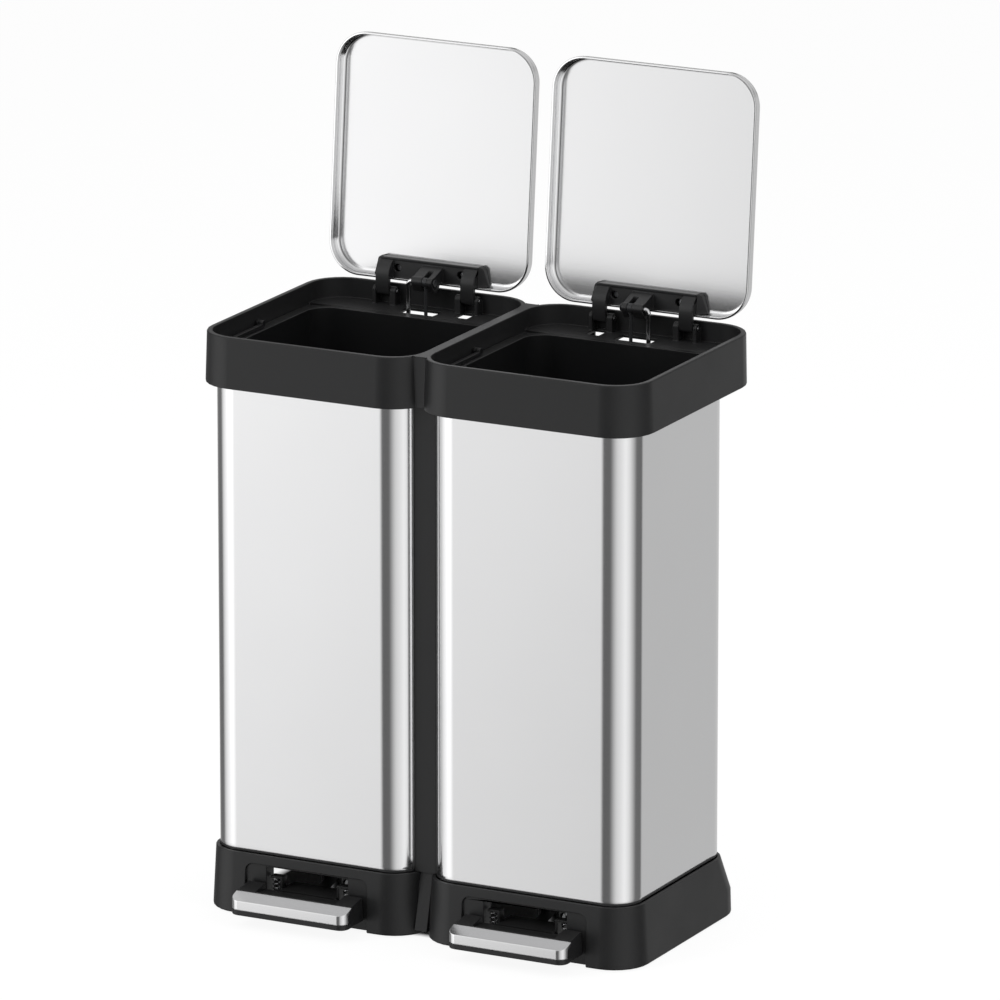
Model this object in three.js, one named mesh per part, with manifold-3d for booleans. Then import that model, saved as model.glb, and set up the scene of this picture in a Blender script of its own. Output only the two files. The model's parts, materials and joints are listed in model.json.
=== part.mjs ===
// Double step bin for sorting waste: two brushed-steel bodies side by side on one black base, under one
// black top rim, each with its own lid, pedal, lift linkage and lift-out bucket. It is drawn with the lids
// thrown fully open and the pedals down. Millimetres, +Z up, X across the bins, -Y towards the user.
// The origin is the middle of the outer box, on the floor.
import * as THREE from "three";
import { mergeVertices } from "three/addons/utils/BufferGeometryUtils.js";
import Module from "manifold-3d";

const wasm = await Module();
wasm.setup();

// ---- Driving sizes. Heights are above the base's lower edge, depths behind the steel bodies' front face.
const BODY_GAP = 21; // between the two steel bodies
const FIT_GAP = 0.3; // between pieces that touch
const CORNER_STEPS = 7; // facets on a quarter of a body corner

const SHELL_WIDTH = 241;
const SHELL_DEPTH = 238;
const SHELL_RADIUS = 32.5;
const SHELL_WALL = 0.7;

const FOOT_PROUD = 1.5;
const FOOT_RADIUS = 11;
const FOOT_INSET = 24;
const FOOT_STEM_RADIUS = 2.6;
const FOOT_STEM_LENGTH = 8;
const FOOT_BOSS_RADIUS = 13;

const BASE_HEIGHT = 68;
const BASE_OVERHANG = 4.6; // beyond the steel body, at the base's top edge
const BASE_FLARE = 3.6; // more overhang at the lower edge
const BASE_WALL = 2.8;
const BASE_EDGE = 1.4; // break of the lower edge
const BASE_TAIL = 25; // the tail behind the steel body, which covers the levers' ends
const BASE_TAIL_HEIGHT = 27; // where its upright back ends and the slope starts
const BASE_TAIL_TOP = 2.6; // behind the steel body at the top of that slope
const DECK_HEIGHT = 60; // underside of the deck that the steel bodies stand on
const DECK_THICKNESS = 2.5;
const COLLAR_HEIGHT = 10;
const COLLAR_WALL = 2;
const GROOVE_FRONT_LOW = 8; // front face of the web between the bins, at its foot
const GROOVE_FRONT_HIGH = 24;
const GROOVE_FOOT = 6;
const WEB_HALF = 7.4;
const WEB_WALL = 3.4;
const WEB_END = 12; // the web stops this far in front of the bodies' rear face

const RECESS_HALF = 74; // pedal recess in the base's front
const RECESS_TOP = 57.7;
const RECESS_RADIUS = 9;
const RECESS_FLOOR = -3.2; // depth of the recess floor
const MOUTH_HALF = 49.4; // opening that the pedal arm comes out of
const MOUTH_LOW = 10;
const MOUTH_TOP = 55.7;
const CHEEK_DEPTH = 14; // walls behind the opening's two sides
const CHEEK_WALL = 2.5;

const RIM_TOP = 638;
const RIM_HEIGHT = 56;
const RIM_OVERHANG = 10.5; // beyond the steel body at the rim's top
const RIM_FLARE = 1.8;
const RIM_EDGE = 1;
const RIM_WALL = 6;
const RIM_TAIL = 50; // behind the steel body, over the hinges
const RIM_REAR_WALL = 4; // skirt behind the hinge mechanism
const RIM_NOTCH_HALF = 64; // the rear skirt is cut away behind the hinges
const RIM_GROOVE_FRONT = 9.5; // floor of the groove between the two fronts
const RIM_GROOVE_HALF = 7.5;
const LEDGE_DROP = 21.5; // rear ledge below the rim's top
const LEDGE_THICKNESS = 3.5;
const LEDGE_START = 2; // rear ledge, from the steel body's rear face
const LEDGE_BACK_START = 3; // hollow under the rear ledge, likewise

const BUCKET_SEAT_SIDE = 10.5; // width of the ledge that the bucket's flange sits on
const BUCKET_FLANGE = 2.2;
const BUCKET_SIDE_GAP = 1.2;
const BUCKET_SLACK = 2; // between the bucket's body and the hole that it drops through
const BUCKET_TAPER = 9;
const BUCKET_WALL = 2;
const BUCKET_RADIUS = 26;
const BUCKET_FLOOR = 80;
const HANDLE_WIDTH = 5;
const HANDLE_THICKNESS = 4;
const HANDLE_PIN_RADIUS = 1.6;
const HANDLE_HUB_RADIUS = 4;
const HANDLE_LUG_WALL = 3.4;
const HANDLE_LIFT = 0.4; // the folded handle lies this far above the flange

const HINGE_INSET = 12.6; // hinge axis, in front of the rim's rear face
const HINGE_Z = 631.3;
const HINGE_PIN_RADIUS = 2.5;
const HINGE_HUB_RADIUS = 5;
const OPEN_ANGLE = 95; // degrees from closed to the photographed pose

const LID_SIDE_GAP = 4; // between the closed lid and the rim's wall
const LID_FRONT_GAP = 1.7;
const LID_RADIUS = 37;
const LID_DEPTH = 16;
const LID_SHEET = 0.8;
const LID_HEM = 1.8; // thickness of the folded hem
const LID_HEM_HEIGHT = 4;
const LID_REAR = -12.2; // lid's rear edge and lip, from the hinge axis, lid closed
const LID_LIP = -1.3;

const EAR_NEAR = 43.5; // the hinge ears, from the bin's centre plane
const EAR_WIDTH = 16;
const EAR_DEPTH = 7.4;
const POST_INNER = 7; // hinge posts on the rim's ledge, beside each ear
const POST_OUTER = 4;
const POST_GAP = 0.5;
const BRACKET_HALF = 70; // at its rear edge
const BRACKET_TAPER = 5; // each end, towards its front edge
const BRACKET_RADIUS = 6;
const BRACKET_REACH = 36; // front edge of the bracket from the hinge axis, lid closed
const BRACKET_PLATE = 2.5;
const BRACKET_WEB_DROP = 5.6; // from the bracket's plate to the web between the ears
const SCREW_RADIUS = 3.4;
const SCREW_X = 38.4;
const SCREW_SHANK_RADIUS = 1.6;

const LINK_RADIUS = 25; // hinge axis to the pins of the lift rod and damper
const LINK_ROD_RADIUS = 2.5;
const LINK_CLEARANCE = 0.4;
const BOSS_RADIUS = 5.7;
const BOSS_OUTER = -8; // boss on the bracket, towards the outer side (-) and the inner side (+)
const BOSS_INNER = 17;
const SPLIT_NEAR = 4.6;
const SPLIT_FAR = 10.6;
const LINK_SLOT_OUTER = -20; // slot in the ledge that the boss drops into, as for the boss
const LINK_SLOT_INNER = 22;
const LINK_SLOT_SPAN = [9.5, 32]; // the slots' ends, behind the steel body's rear face
const EAR_SLOT_SPAN = [15, 40];

const ROD_X = -13.5; // lift rod, on the outer side of the boss
const ROD_LOW_OFFSET = 6.5; // its lower stretch runs this far behind the steel body
const ROD_JOG_HIGH = 150;
const ROD_JOG_LOW = 120;
const ROD_BEND = 7;
const DAMPER_ROD_RADIUS = 2;
const DAMPER_ROD_LOW = 530;
const DAMPER_RADIUS = 6;
const DAMPER_TOP = 570;
const DAMPER_BOTTOM = 425;
const DAMPER_EYE_RADIUS = 5.2;

const COVER_HALF = 30; // channel behind each body that hides the rods
const COVER_DEPTH = 30;
const COVER_WALL = 2.5;
const COVER_FLANGE = 8;
const COVER_TOP = 599;
const COVER_SHELF = 3;

const PIVOT_Y = 60; // pedal lever's axle
const PIVOT_Z = 29;
const PIVOT_RADIUS = 3.5;
const HANGER_WALL = 4;
const HANGER_HALF = 8;
const LEVER_HALF = 7.5;
const LEVER_SHEET = 2;
const LEVER_FRONT = -22;
const LEVER_LOW = 19.5;
const LEVER_HIGH = 29.1;
const LEVER_EYE_SLACK = 1.1;

const PEDAL_FRONT = -50;
const PEDAL_HALF = 70;
const PEDAL_RADIUS = 10;
const PEDAL_LOW = 12.7;
const TREAD_LOW = 18.8;
const TREAD_FRONT_TOP = 29;
const TREAD_BACK = -33;
const TREAD_BACK_TOP = 34.9;
const TREAD_SHEET = 0.8;
const TREAD_SIDE = 9; // how far the tread's ends wrap back
const PEDAL_REAR = -7.5;
const PEDAL_REAR_TOP = 39;
const PEDAL_WALL = 2.5;
const PEDAL_DIP = 32;
const TONGUE_HALF = 34;
const TONGUE_REAR = 30;
const HORN_REACH = 47.5;
const HORN_LOW = 42.3;
const HORN_THICKNESS = 2.5;

const SPRING_X = 43.2;
const SPRING_Y = 7;
const SPRING_FOOT = 7.5;
const SPRING_RADIUS = 3.4;
const SPRING_WIRE = 0.6;
const SPRING_TURNS = 7;

const STRIP_FRONT = 20; // closing strip between the two bodies, behind their faces
const STRIP_DEPTH = 16;
const STRIP_WALL = 2;

// ---- Sizes worked out from the driving ones.
const PITCH = SHELL_WIDTH + BODY_GAP; // between the two bins' centre planes
const RIM_REAR = SHELL_DEPTH + RIM_TAIL;
const LEDGE_FRONT = SHELL_DEPTH + LEDGE_START;
const LEDGE_BACK_WALL = SHELL_DEPTH + LEDGE_BACK_START;
const HINGE_Y = RIM_REAR - HINGE_INSET;
const ROD_LOW_Y = SHELL_DEPTH + ROD_LOW_OFFSET;
const COVER_BACK = SHELL_DEPTH + COVER_DEPTH;
const [linkSlotFront, linkSlotRear] = LINK_SLOT_SPAN.map((y) => SHELL_DEPTH + y);
const [earSlotFront, earSlotRear] = EAR_SLOT_SPAN.map((y) => SHELL_DEPTH + y);
const apertureHalf = SHELL_WIDTH / 2 + RIM_OVERHANG - RIM_WALL;
const apertureFront = RIM_WALL - RIM_OVERHANG;
const LID_WIDTH = 2 * (apertureHalf - LID_SIDE_GAP);
const LID_LENGTH = HINGE_Y + LID_REAR - apertureFront - LID_FRONT_GAP;
const rimFoot = RIM_TOP - RIM_HEIGHT;
const ledgeTop = RIM_TOP - LEDGE_DROP;
const rimNotchTop = ledgeTop - LEDGE_THICKNESS; // the rear skirt is cut away up to the ledge
const seatTop = ledgeTop - BUCKET_FLANGE - FIT_GAP;
const seatUnderside = seatTop - LEDGE_THICKNESS;
const deckTop = DECK_HEIGHT + DECK_THICKNESS;
const openRad = THREE.MathUtils.degToRad(OPEN_ANGLE);
const linkHalf = LINK_RADIUS * Math.sin(openRad / 2); // half of the rods' travel
const linkReach = LINK_RADIUS * Math.cos(openRad / 2);
const rodY = HINGE_Y - linkReach;
const rodTop = HINGE_Z + linkHalf;
const leverPinZ = PIVOT_Z + linkHalf;
const earFar = EAR_NEAR + EAR_WIDTH;
const panelInside = LID_LIP + LID_DEPTH - LID_SHEET;
const plateTop = panelInside - FIT_GAP;
const damperX = (SPLIT_NEAR + SPLIT_FAR) / 2;
const handleY = SHELL_DEPTH / 2;

// ---- Materials.
const blackPlastic = new THREE.MeshStandardMaterial({ color: 0x26272a, roughness: 0.55, metalness: 0 });
const brushedSteel = new THREE.MeshStandardMaterial({ color: 0xc4c5c6, roughness: 0.32, metalness: 1 });
const plainSteel = new THREE.MeshStandardMaterial({ color: 0xb4b6b8, roughness: 0.4, metalness: 1 });
const blackSteel = new THREE.MeshStandardMaterial({ color: 0x2b2c2e, roughness: 0.45, metalness: 0.6 });
const rubber = new THREE.MeshStandardMaterial({ color: 0x1c1c1d, roughness: 0.9, metalness: 0 });

// ---- Solids from three.js geometry, joined and cut with manifold-3d.
function solid(geometry) {
  const bare = geometry.clone();
  bare.deleteAttribute("normal");
  bare.deleteAttribute("uv");
  const merged = mergeVertices(bare, 1e-4);
  return new wasm.Manifold(
    new wasm.Mesh({
      numProp: 3,
      vertProperties: new Float32Array(merged.attributes.position.array),
      triVerts: new Uint32Array(merged.index.array),
    }),
  );
}

function join(...parts) {
  return parts.reduce((whole, part) => whole.add(part));
}

function cut(body, ...tools) {
  return tools.reduce((whole, tool) => whole.subtract(tool), body);
}

function box(x0, x1, y0, y1, z0, z1) {
  const geometry = new THREE.BoxGeometry(x1 - x0, y1 - y0, z1 - z0);
  geometry.translate((x0 + x1) / 2, (y0 + y1) / 2, (z0 + z1) / 2);
  return solid(geometry);
}

function rodX(radius, x0, x1, y, z, sides = 20) {
  const geometry = new THREE.CylinderGeometry(radius, radius, x1 - x0, sides);
  geometry.rotateZ(-Math.PI / 2);
  geometry.translate((x0 + x1) / 2, y, z);
  return solid(geometry);
}

function rodZ(radius, x, y, z0, z1, sides = 20) {
  const geometry = new THREE.CylinderGeometry(radius, radius, z1 - z0, sides);
  geometry.rotateX(Math.PI / 2);
  geometry.translate(x, y, (z0 + z1) / 2);
  return solid(geometry);
}

// Outline of a rounded rectangle, counter-clockwise.
function roundedOutline(x0, x1, y0, y1, radius, steps = CORNER_STEPS) {
  const corners = [
    [x1 - radius, y0 + radius, -0.5],
    [x1 - radius, y1 - radius, 0],
    [x0 + radius, y1 - radius, 0.5],
    [x0 + radius, y0 + radius, 1],
  ];
  return corners.flatMap(([cx, cy, quarter]) =>
    Array.from({ length: steps + 1 }, (_, i) => {
      const angle = Math.PI * (quarter + i / steps / 2);
      return new THREE.Vector2(cx + radius * Math.cos(angle), cy + radius * Math.sin(angle));
    }),
  );
}

function plate(outline, z0, z1) {
  const geometry = new THREE.ExtrudeGeometry(new THREE.Shape(outline), { depth: z1 - z0, bevelEnabled: false });
  geometry.translate(0, 0, z0);
  return solid(geometry);
}

// A side view given in Y and Z, carried along X.
function sideProfile(points, x0, x1) {
  const shape = new THREE.Shape(points.map(([y, z]) => new THREE.Vector2(y, z)));
  const geometry = new THREE.ExtrudeGeometry(shape, { depth: x1 - x0, bevelEnabled: false });
  const turn = new THREE.Matrix4().set(0, 0, 1, x0, 1, 0, 0, 0, 0, 1, 0, 0, 0, 0, 0, 1);
  geometry.applyMatrix4(turn);
  return solid(geometry);
}

// A front view given in X and Z, carried along Y.
function frontProfile(outline, y0, y1) {
  const geometry = new THREE.ExtrudeGeometry(new THREE.Shape(outline), { depth: y1 - y0, bevelEnabled: false });
  const turn = new THREE.Matrix4().set(1, 0, 0, 0, 0, 0, -1, y1, 0, 1, 0, 0, 0, 0, 0, 1);
  geometry.applyMatrix4(turn);
  return solid(geometry);
}

// A solid through rings that all have the same number of points, closed by a flat cap at each end.
function loft(rings) {
  const count = rings[0].length;
  const positions = rings.flat().flatMap((p) => [p.x, p.y, p.z]);
  const index = [];
  for (let k = 0; k + 1 < rings.length; k++) {
    for (let i = 0; i < count; i++) {
      const a = k * count + i;
      const b = k * count + ((i + 1) % count);
      index.push(a, b, b + count, a, b + count, a + count);
    }
  }
  const last = (rings.length - 1) * count;
  for (let i = 1; i + 1 < count; i++) {
    index.push(0, i + 1, i, last, last + i, last + i + 1);
  }
  const geometry = new THREE.BufferGeometry();
  geometry.setAttribute("position", new THREE.Float32BufferAttribute(positions, 3));
  geometry.setIndex(index);
  return solid(geometry);
}

function levelRing(x0, x1, y0, y1, radius, z) {
  return roundedOutline(x0, x1, y0, y1, radius).map((p) => new THREE.Vector3(p.x, p.y, z));
}

// A round wire along points, with its section turned from one stretch to the next without twist.
function wire(points, radius, sides) {
  const normal = new THREE.Vector3(0, 1, 0);
  const rings = points.map((point, i) => {
    const before = points[Math.max(i - 1, 0)];
    const after = points[Math.min(i + 1, points.length - 1)];
    const along = after.clone().sub(before).normalize();
    if (Math.abs(normal.dot(along)) > 0.95) normal.set(along.z, along.x, along.y);
    normal.addScaledVector(along, -normal.dot(along)).normalize();
    const across = along.clone().cross(normal);
    return Array.from({ length: sides }, (_, k) => {
      const angle = (2 * Math.PI * k) / sides;
      return point
        .clone()
        .addScaledVector(normal, radius * Math.cos(angle))
        .addScaledVector(across, radius * Math.sin(angle));
    });
  });
  return loft(rings);
}

// Points along straight stretches whose corners are rounded off.
function bentPath(corners, bend, steps = 5) {
  const path = [corners[0]];
  for (let i = 1; i + 1 < corners.length; i++) {
    const before = corners[i - 1].clone().sub(corners[i]).setLength(bend).add(corners[i]);
    const after = corners[i + 1].clone().sub(corners[i]).setLength(bend).add(corners[i]);
    const curve = new THREE.QuadraticBezierCurve3(before, corners[i], after);
    path.push(...curve.getPoints(steps));
  }
  path.push(corners[corners.length - 1]);
  return path;
}

const model = new THREE.Group();

function piece(name, body, material, parent = model) {
  const mesh = body.getMesh();
  const geometry = new THREE.BufferGeometry();
  geometry.setAttribute("position", new THREE.Float32BufferAttribute(mesh.vertProperties, 3));
  geometry.setIndex([...mesh.triVerts]);
  const shown = new THREE.Mesh(geometry, material.clone());
  shown.name = name;
  parent.add(shown);
  return shown;
}

// ---- Outlines shared by neighbours.
function shellOutline(centre, grow) {
  const half = SHELL_WIDTH / 2 + grow;
  return roundedOutline(centre - half, centre + half, -grow, SHELL_DEPTH + grow, SHELL_RADIUS + grow);
}

function baseOverhangAt(z) {
  return BASE_OVERHANG + BASE_FLARE * (1 - z / BASE_HEIGHT);
}

function baseRearAt(z) {
  const rise = Math.max(0, z - BASE_TAIL_HEIGHT) / (BASE_HEIGHT - BASE_TAIL_HEIGHT);
  return SHELL_DEPTH + BASE_TAIL + rise * (BASE_TAIL_TOP - BASE_TAIL);
}

function baseRing(centre, z, inset, height = z) {
  const out = baseOverhangAt(z) - inset;
  const half = SHELL_WIDTH / 2 + out;
  return levelRing(centre - half, centre + half, -out, baseRearAt(z) - inset, SHELL_RADIUS + out, height);
}

function apertureOutline(centre, grow) {
  const half = SHELL_WIDTH / 2 + RIM_OVERHANG - RIM_WALL + grow;
  const radius = SHELL_RADIUS + RIM_OVERHANG - RIM_WALL + grow;
  const front = RIM_WALL - RIM_OVERHANG - grow;
  return roundedOutline(centre - half, centre + half, front, RIM_REAR - RIM_WALL + grow, radius);
}

const holeHalf = apertureHalf - BUCKET_SEAT_SIDE;
const holeFront = apertureFront + BUCKET_SEAT_SIDE + 0.5;
const holeRear = LEDGE_FRONT - 4;

// ---- One base moulding for both bins: flared walls, deck, collars, pedal recesses and lever hangers.
function baseOfBin(centre) {
  const outer = loft([
    baseRing(centre, 0, BASE_EDGE),
    baseRing(centre, BASE_EDGE, 0),
    baseRing(centre, BASE_TAIL_HEIGHT, 0),
    baseRing(centre, BASE_HEIGHT, 0),
  ]);
  const hollow = loft([
    baseRing(centre, 0, BASE_WALL, -1),
    baseRing(centre, BASE_TAIL_HEIGHT, BASE_WALL),
    baseRing(centre, DECK_HEIGHT, BASE_WALL),
  ]);
  const seat = plate(shellOutline(centre, FIT_GAP), deckTop, BASE_HEIGHT + 1);
  const collar = cut(
    plate(shellOutline(centre, -SHELL_WALL - FIT_GAP), deckTop - 1, deckTop + COLLAR_HEIGHT),
    plate(shellOutline(centre, -SHELL_WALL - FIT_GAP - COLLAR_WALL), deckTop - 2, deckTop + COLLAR_HEIGHT + 1),
  );
  const recess = frontProfile(
    roundedOutline(centre - RECESS_HALF, centre + RECESS_HALF, -2 * RECESS_RADIUS, RECESS_TOP, RECESS_RADIUS, 5),
    -2 * BASE_OVERHANG - BASE_FLARE,
    RECESS_FLOOR,
  );
  const backing = box(
    centre - RECESS_HALF - BASE_WALL,
    centre + RECESS_HALF + BASE_WALL,
    RECESS_FLOOR,
    RECESS_FLOOR + BASE_WALL,
    BASE_EDGE,
    DECK_HEIGHT + 1,
  );
  const mouth = box(
    centre - MOUTH_HALF,
    centre + MOUTH_HALF,
    RECESS_FLOOR - 1,
    RECESS_FLOOR + BASE_WALL + 1,
    MOUTH_LOW,
    MOUTH_TOP,
  );
  let body = cut(outer, hollow, seat, recess);
  body = cut(join(body, collar, backing), mouth);
  for (const side of [-1, 1]) {
    const near = centre + side * MOUTH_HALF;
    const far = near + side * CHEEK_WALL;
    const cheek = box(
      Math.min(near, far),
      Math.max(near, far),
      RECESS_FLOOR + 1,
      CHEEK_DEPTH,
      SPRING_FOOT - CHEEK_WALL,
      DECK_HEIGHT + 1,
    );
    const inner = centre + side * (SPRING_X - SPRING_RADIUS - 2);
    const shelf = box(
      Math.min(inner, far),
      Math.max(inner, far),
      RECESS_FLOOR + 1,
      SPRING_Y + SPRING_RADIUS + 3,
      SPRING_FOOT - CHEEK_WALL,
      SPRING_FOOT - FIT_GAP,
    );
    const hanger = box(
      Math.min(centre + side * (LEVER_HALF + 1), centre + side * (LEVER_HALF + 1 + HANGER_WALL)),
      Math.max(centre + side * (LEVER_HALF + 1), centre + side * (LEVER_HALF + 1 + HANGER_WALL)),
      PIVOT_Y - HANGER_HALF,
      PIVOT_Y + HANGER_HALF,
      PIVOT_Z - HANGER_HALF,
      DECK_HEIGHT + 1,
    );
    body = join(body, cheek, shelf, hanger);
  }
  const axleHole = rodX(PIVOT_RADIUS + FIT_GAP, centre - 30, centre + 30, PIVOT_Y, PIVOT_Z);
  return cut(body, axleHole);
}

function leverSlot(centre, side) {
  const a = centre - side * (ROD_X - 4);
  const b = centre - side * (LEVER_HALF + 2);
  const y0 = SHELL_DEPTH + BASE_TAIL_TOP + 0.4;
  return box(Math.min(a, b), Math.max(a, b), y0, ROD_LOW_Y + 9, BASE_TAIL_HEIGHT, BASE_HEIGHT + 1);
}

function footPlaces(side) {
  const x = side * (PITCH / 2 + SHELL_WIDTH / 2 - FOOT_INSET);
  return { front: [x, FOOT_INSET], rear: [x, SHELL_DEPTH - FOOT_INSET / 2] };
}

function base() {
  let body = join(...[-1, 1].map((side) => baseOfBin((side * PITCH) / 2)));
  const web = sideProfile(
    [
      [GROOVE_FRONT_LOW, GROOVE_FOOT],
      [SHELL_DEPTH - WEB_END, GROOVE_FOOT],
      [SHELL_DEPTH - WEB_END, BASE_HEIGHT],
      [GROOVE_FRONT_HIGH, BASE_HEIGHT],
    ],
    -WEB_HALF,
    WEB_HALF,
  );
  const webHollow = box(
    WEB_WALL - WEB_HALF,
    WEB_HALF - WEB_WALL,
    GROOVE_FRONT_HIGH + WEB_WALL,
    SHELL_DEPTH - WEB_END - WEB_WALL,
    -1,
    DECK_HEIGHT,
  );
  const seats = [-1, 1].map((side) => plate(shellOutline((side * PITCH) / 2, FIT_GAP), deckTop, BASE_HEIGHT + 1));
  body = join(body, cut(web, webHollow, ...seats));
  for (const side of [-1, 1]) {
    for (const [x, y] of Object.values(footPlaces(side))) {
      body = join(body, rodZ(FOOT_BOSS_RADIUS, x, y, FIT_GAP, DECK_HEIGHT + 1, 24));
      body = cut(body, rodZ(FOOT_STEM_RADIUS + FIT_GAP, x, y, -1, FOOT_STEM_LENGTH + 1, 12));
    }
    body = cut(body, leverSlot((side * PITCH) / 2, side));
  }
  return body;
}

// ---- One top rim for both bins, with the rear ledge, its slots and the hinge posts.
function rimOfBin(centre) {
  const ring = (grow, rear, z) => {
    const half = SHELL_WIDTH / 2 + grow;
    return levelRing(centre - half, centre + half, -grow, rear, SHELL_RADIUS + grow, z);
  };
  return loft([
    ring(RIM_OVERHANG + RIM_FLARE, RIM_REAR, rimFoot),
    ring(RIM_OVERHANG, RIM_REAR, RIM_TOP - RIM_EDGE),
    ring(RIM_OVERHANG - RIM_EDGE, RIM_REAR - RIM_EDGE, RIM_TOP),
  ]);
}

function rimCuts(centre, side) {
  const big = PITCH;
  const flangeSeat = plate(apertureOutline(centre, 0), seatTop, ledgeTop + 1).subtract(
    box(centre - big, centre + big, LEDGE_FRONT, 2 * RIM_REAR, 0, 2 * RIM_TOP),
  );
  const rearHollow = plate(apertureOutline(centre, RIM_WALL - RIM_REAR_WALL), rimFoot - 1, ledgeTop - LEDGE_THICKNESS)
    .subtract(box(centre - big, centre + big, -RIM_REAR, LEDGE_BACK_WALL, 0, 2 * RIM_TOP))
    .subtract(box(centre + apertureHalf, centre + big, -RIM_REAR, 2 * RIM_REAR, 0, 2 * RIM_TOP))
    .subtract(box(centre - big, centre - apertureHalf, -RIM_REAR, 2 * RIM_REAR, 0, 2 * RIM_TOP));
  const earSlot = [centre - side * EAR_NEAR, centre - side * earFar];
  const linkSlot = [centre - side * LINK_SLOT_OUTER, centre - side * LINK_SLOT_INNER];
  return [
    plate(apertureOutline(centre, 0), ledgeTop, RIM_TOP + 1),
    flangeSeat,
    plate(
      roundedOutline(centre - holeHalf, centre + holeHalf, holeFront, holeRear, BUCKET_RADIUS + BUCKET_SLACK),
      rimFoot - 1,
      ledgeTop,
    ),
    plate(shellOutline(centre, FIT_GAP), rimFoot - 1, seatUnderside),
    rearHollow,
    box(centre - RIM_NOTCH_HALF, centre + RIM_NOTCH_HALF, RIM_REAR - RIM_WALL, RIM_REAR + 5, rimFoot - 1, rimNotchTop),
    box(
      Math.min(...linkSlot),
      Math.max(...linkSlot),
      linkSlotFront,
      linkSlotRear,
      ledgeTop - 2 * LEDGE_THICKNESS,
      ledgeTop + 1,
    ),
    box(
      Math.min(...earSlot),
      Math.max(...earSlot),
      earSlotFront,
      earSlotRear,
      ledgeTop - 2 * LEDGE_THICKNESS,
      ledgeTop + 1,
    ),
  ];
}

function hingePost(x0, x1) {
  const upright = box(
    x0,
    x1,
    HINGE_Y - HINGE_HUB_RADIUS,
    RIM_REAR - RIM_WALL + 1,
    ledgeTop - 1,
    HINGE_Z,
  );
  const top = rodX(HINGE_HUB_RADIUS, x0, x1, HINGE_Y, HINGE_Z);
  return cut(join(upright, top), rodX(HINGE_PIN_RADIUS + FIT_GAP, x0 - 1, x1 + 1, HINGE_Y, HINGE_Z));
}

// The two posts beside each ear: [start, end] across the bin, for the ear on side (-1 or 1) of its centre.
function postSpans(centre, side) {
  const spans = [
    [EAR_NEAR - POST_GAP - POST_INNER, EAR_NEAR - POST_GAP],
    [earFar + POST_GAP, earFar + POST_GAP + POST_OUTER],
  ];
  return spans.map(([a, b]) => [centre + side * a, centre + side * b].sort((p, q) => p - q));
}

function topRim() {
  const centres = [-PITCH / 2, PITCH / 2];
  const bridge = box(-RIM_GROOVE_HALF, RIM_GROOVE_HALF, RIM_GROOVE_FRONT, RIM_REAR - RIM_GROOVE_FRONT * 2, rimFoot, RIM_TOP);
  let body = join(...centres.map(rimOfBin), bridge);
  centres.forEach((centre, i) => {
    body = cut(body, ...rimCuts(centre, 2 * i - 1));
    for (const side of [-1, 1]) {
      body = join(body, ...postSpans(centre, side).map(([x0, x1]) => hingePost(x0, x1)));
    }
  });
  return body;
}

// ---- Steel bodies and the strips that close the space between them.
function shell(centre) {
  return cut(
    plate(shellOutline(centre, 0), deckTop + FIT_GAP, seatUnderside - FIT_GAP),
    plate(shellOutline(centre, -SHELL_WALL), deckTop - 1, seatUnderside + 1),
  );
}

// The strip's sides follow the round corners of the two bodies. near is its visible face, depth its reach.
function centreStrip(face, inward) {
  const steps = 5;
  const arcCentreX = PITCH / 2 - SHELL_WIDTH / 2 + SHELL_RADIUS;
  const halfAt = (behind, shrink) => {
    const dy = Math.max(0, SHELL_RADIUS - behind);
    return arcCentreX - Math.sqrt((SHELL_RADIUS + FIT_GAP + shrink) ** 2 - dy ** 2);
  };
  const outline = (from, shrink) => {
    const depths = Array.from({ length: steps + 1 }, (_, i) => from + ((STRIP_FRONT + STRIP_DEPTH - from) * i) / steps);
    const left = depths.map((d) => new THREE.Vector2(-halfAt(d, shrink), face + inward * (d - STRIP_FRONT)));
    const right = depths.map((d) => new THREE.Vector2(halfAt(d, shrink), face + inward * (d - STRIP_FRONT)));
    return [...right, ...left.reverse()];
  };
  const z0 = BASE_HEIGHT + FIT_GAP;
  const z1 = rimFoot - FIT_GAP;
  const solidStrip = plate(outline(STRIP_FRONT, 0), z0, z1);
  const channel = plate(outline(STRIP_FRONT + STRIP_WALL, STRIP_WALL), z0 - 1, z1 + 1);
  const beyond = face + inward * (STRIP_DEPTH + 1);
  const mouth = box(
    -halfAt(STRIP_FRONT + STRIP_DEPTH, STRIP_WALL),
    halfAt(STRIP_FRONT + STRIP_DEPTH, STRIP_WALL),
    Math.min(beyond, face + inward * (STRIP_DEPTH - 3)),
    Math.max(beyond, face + inward * (STRIP_DEPTH - 3)),
    z0 - 1,
    z1 + 1,
  );
  return cut(solidStrip, channel, mouth);
}

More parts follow.
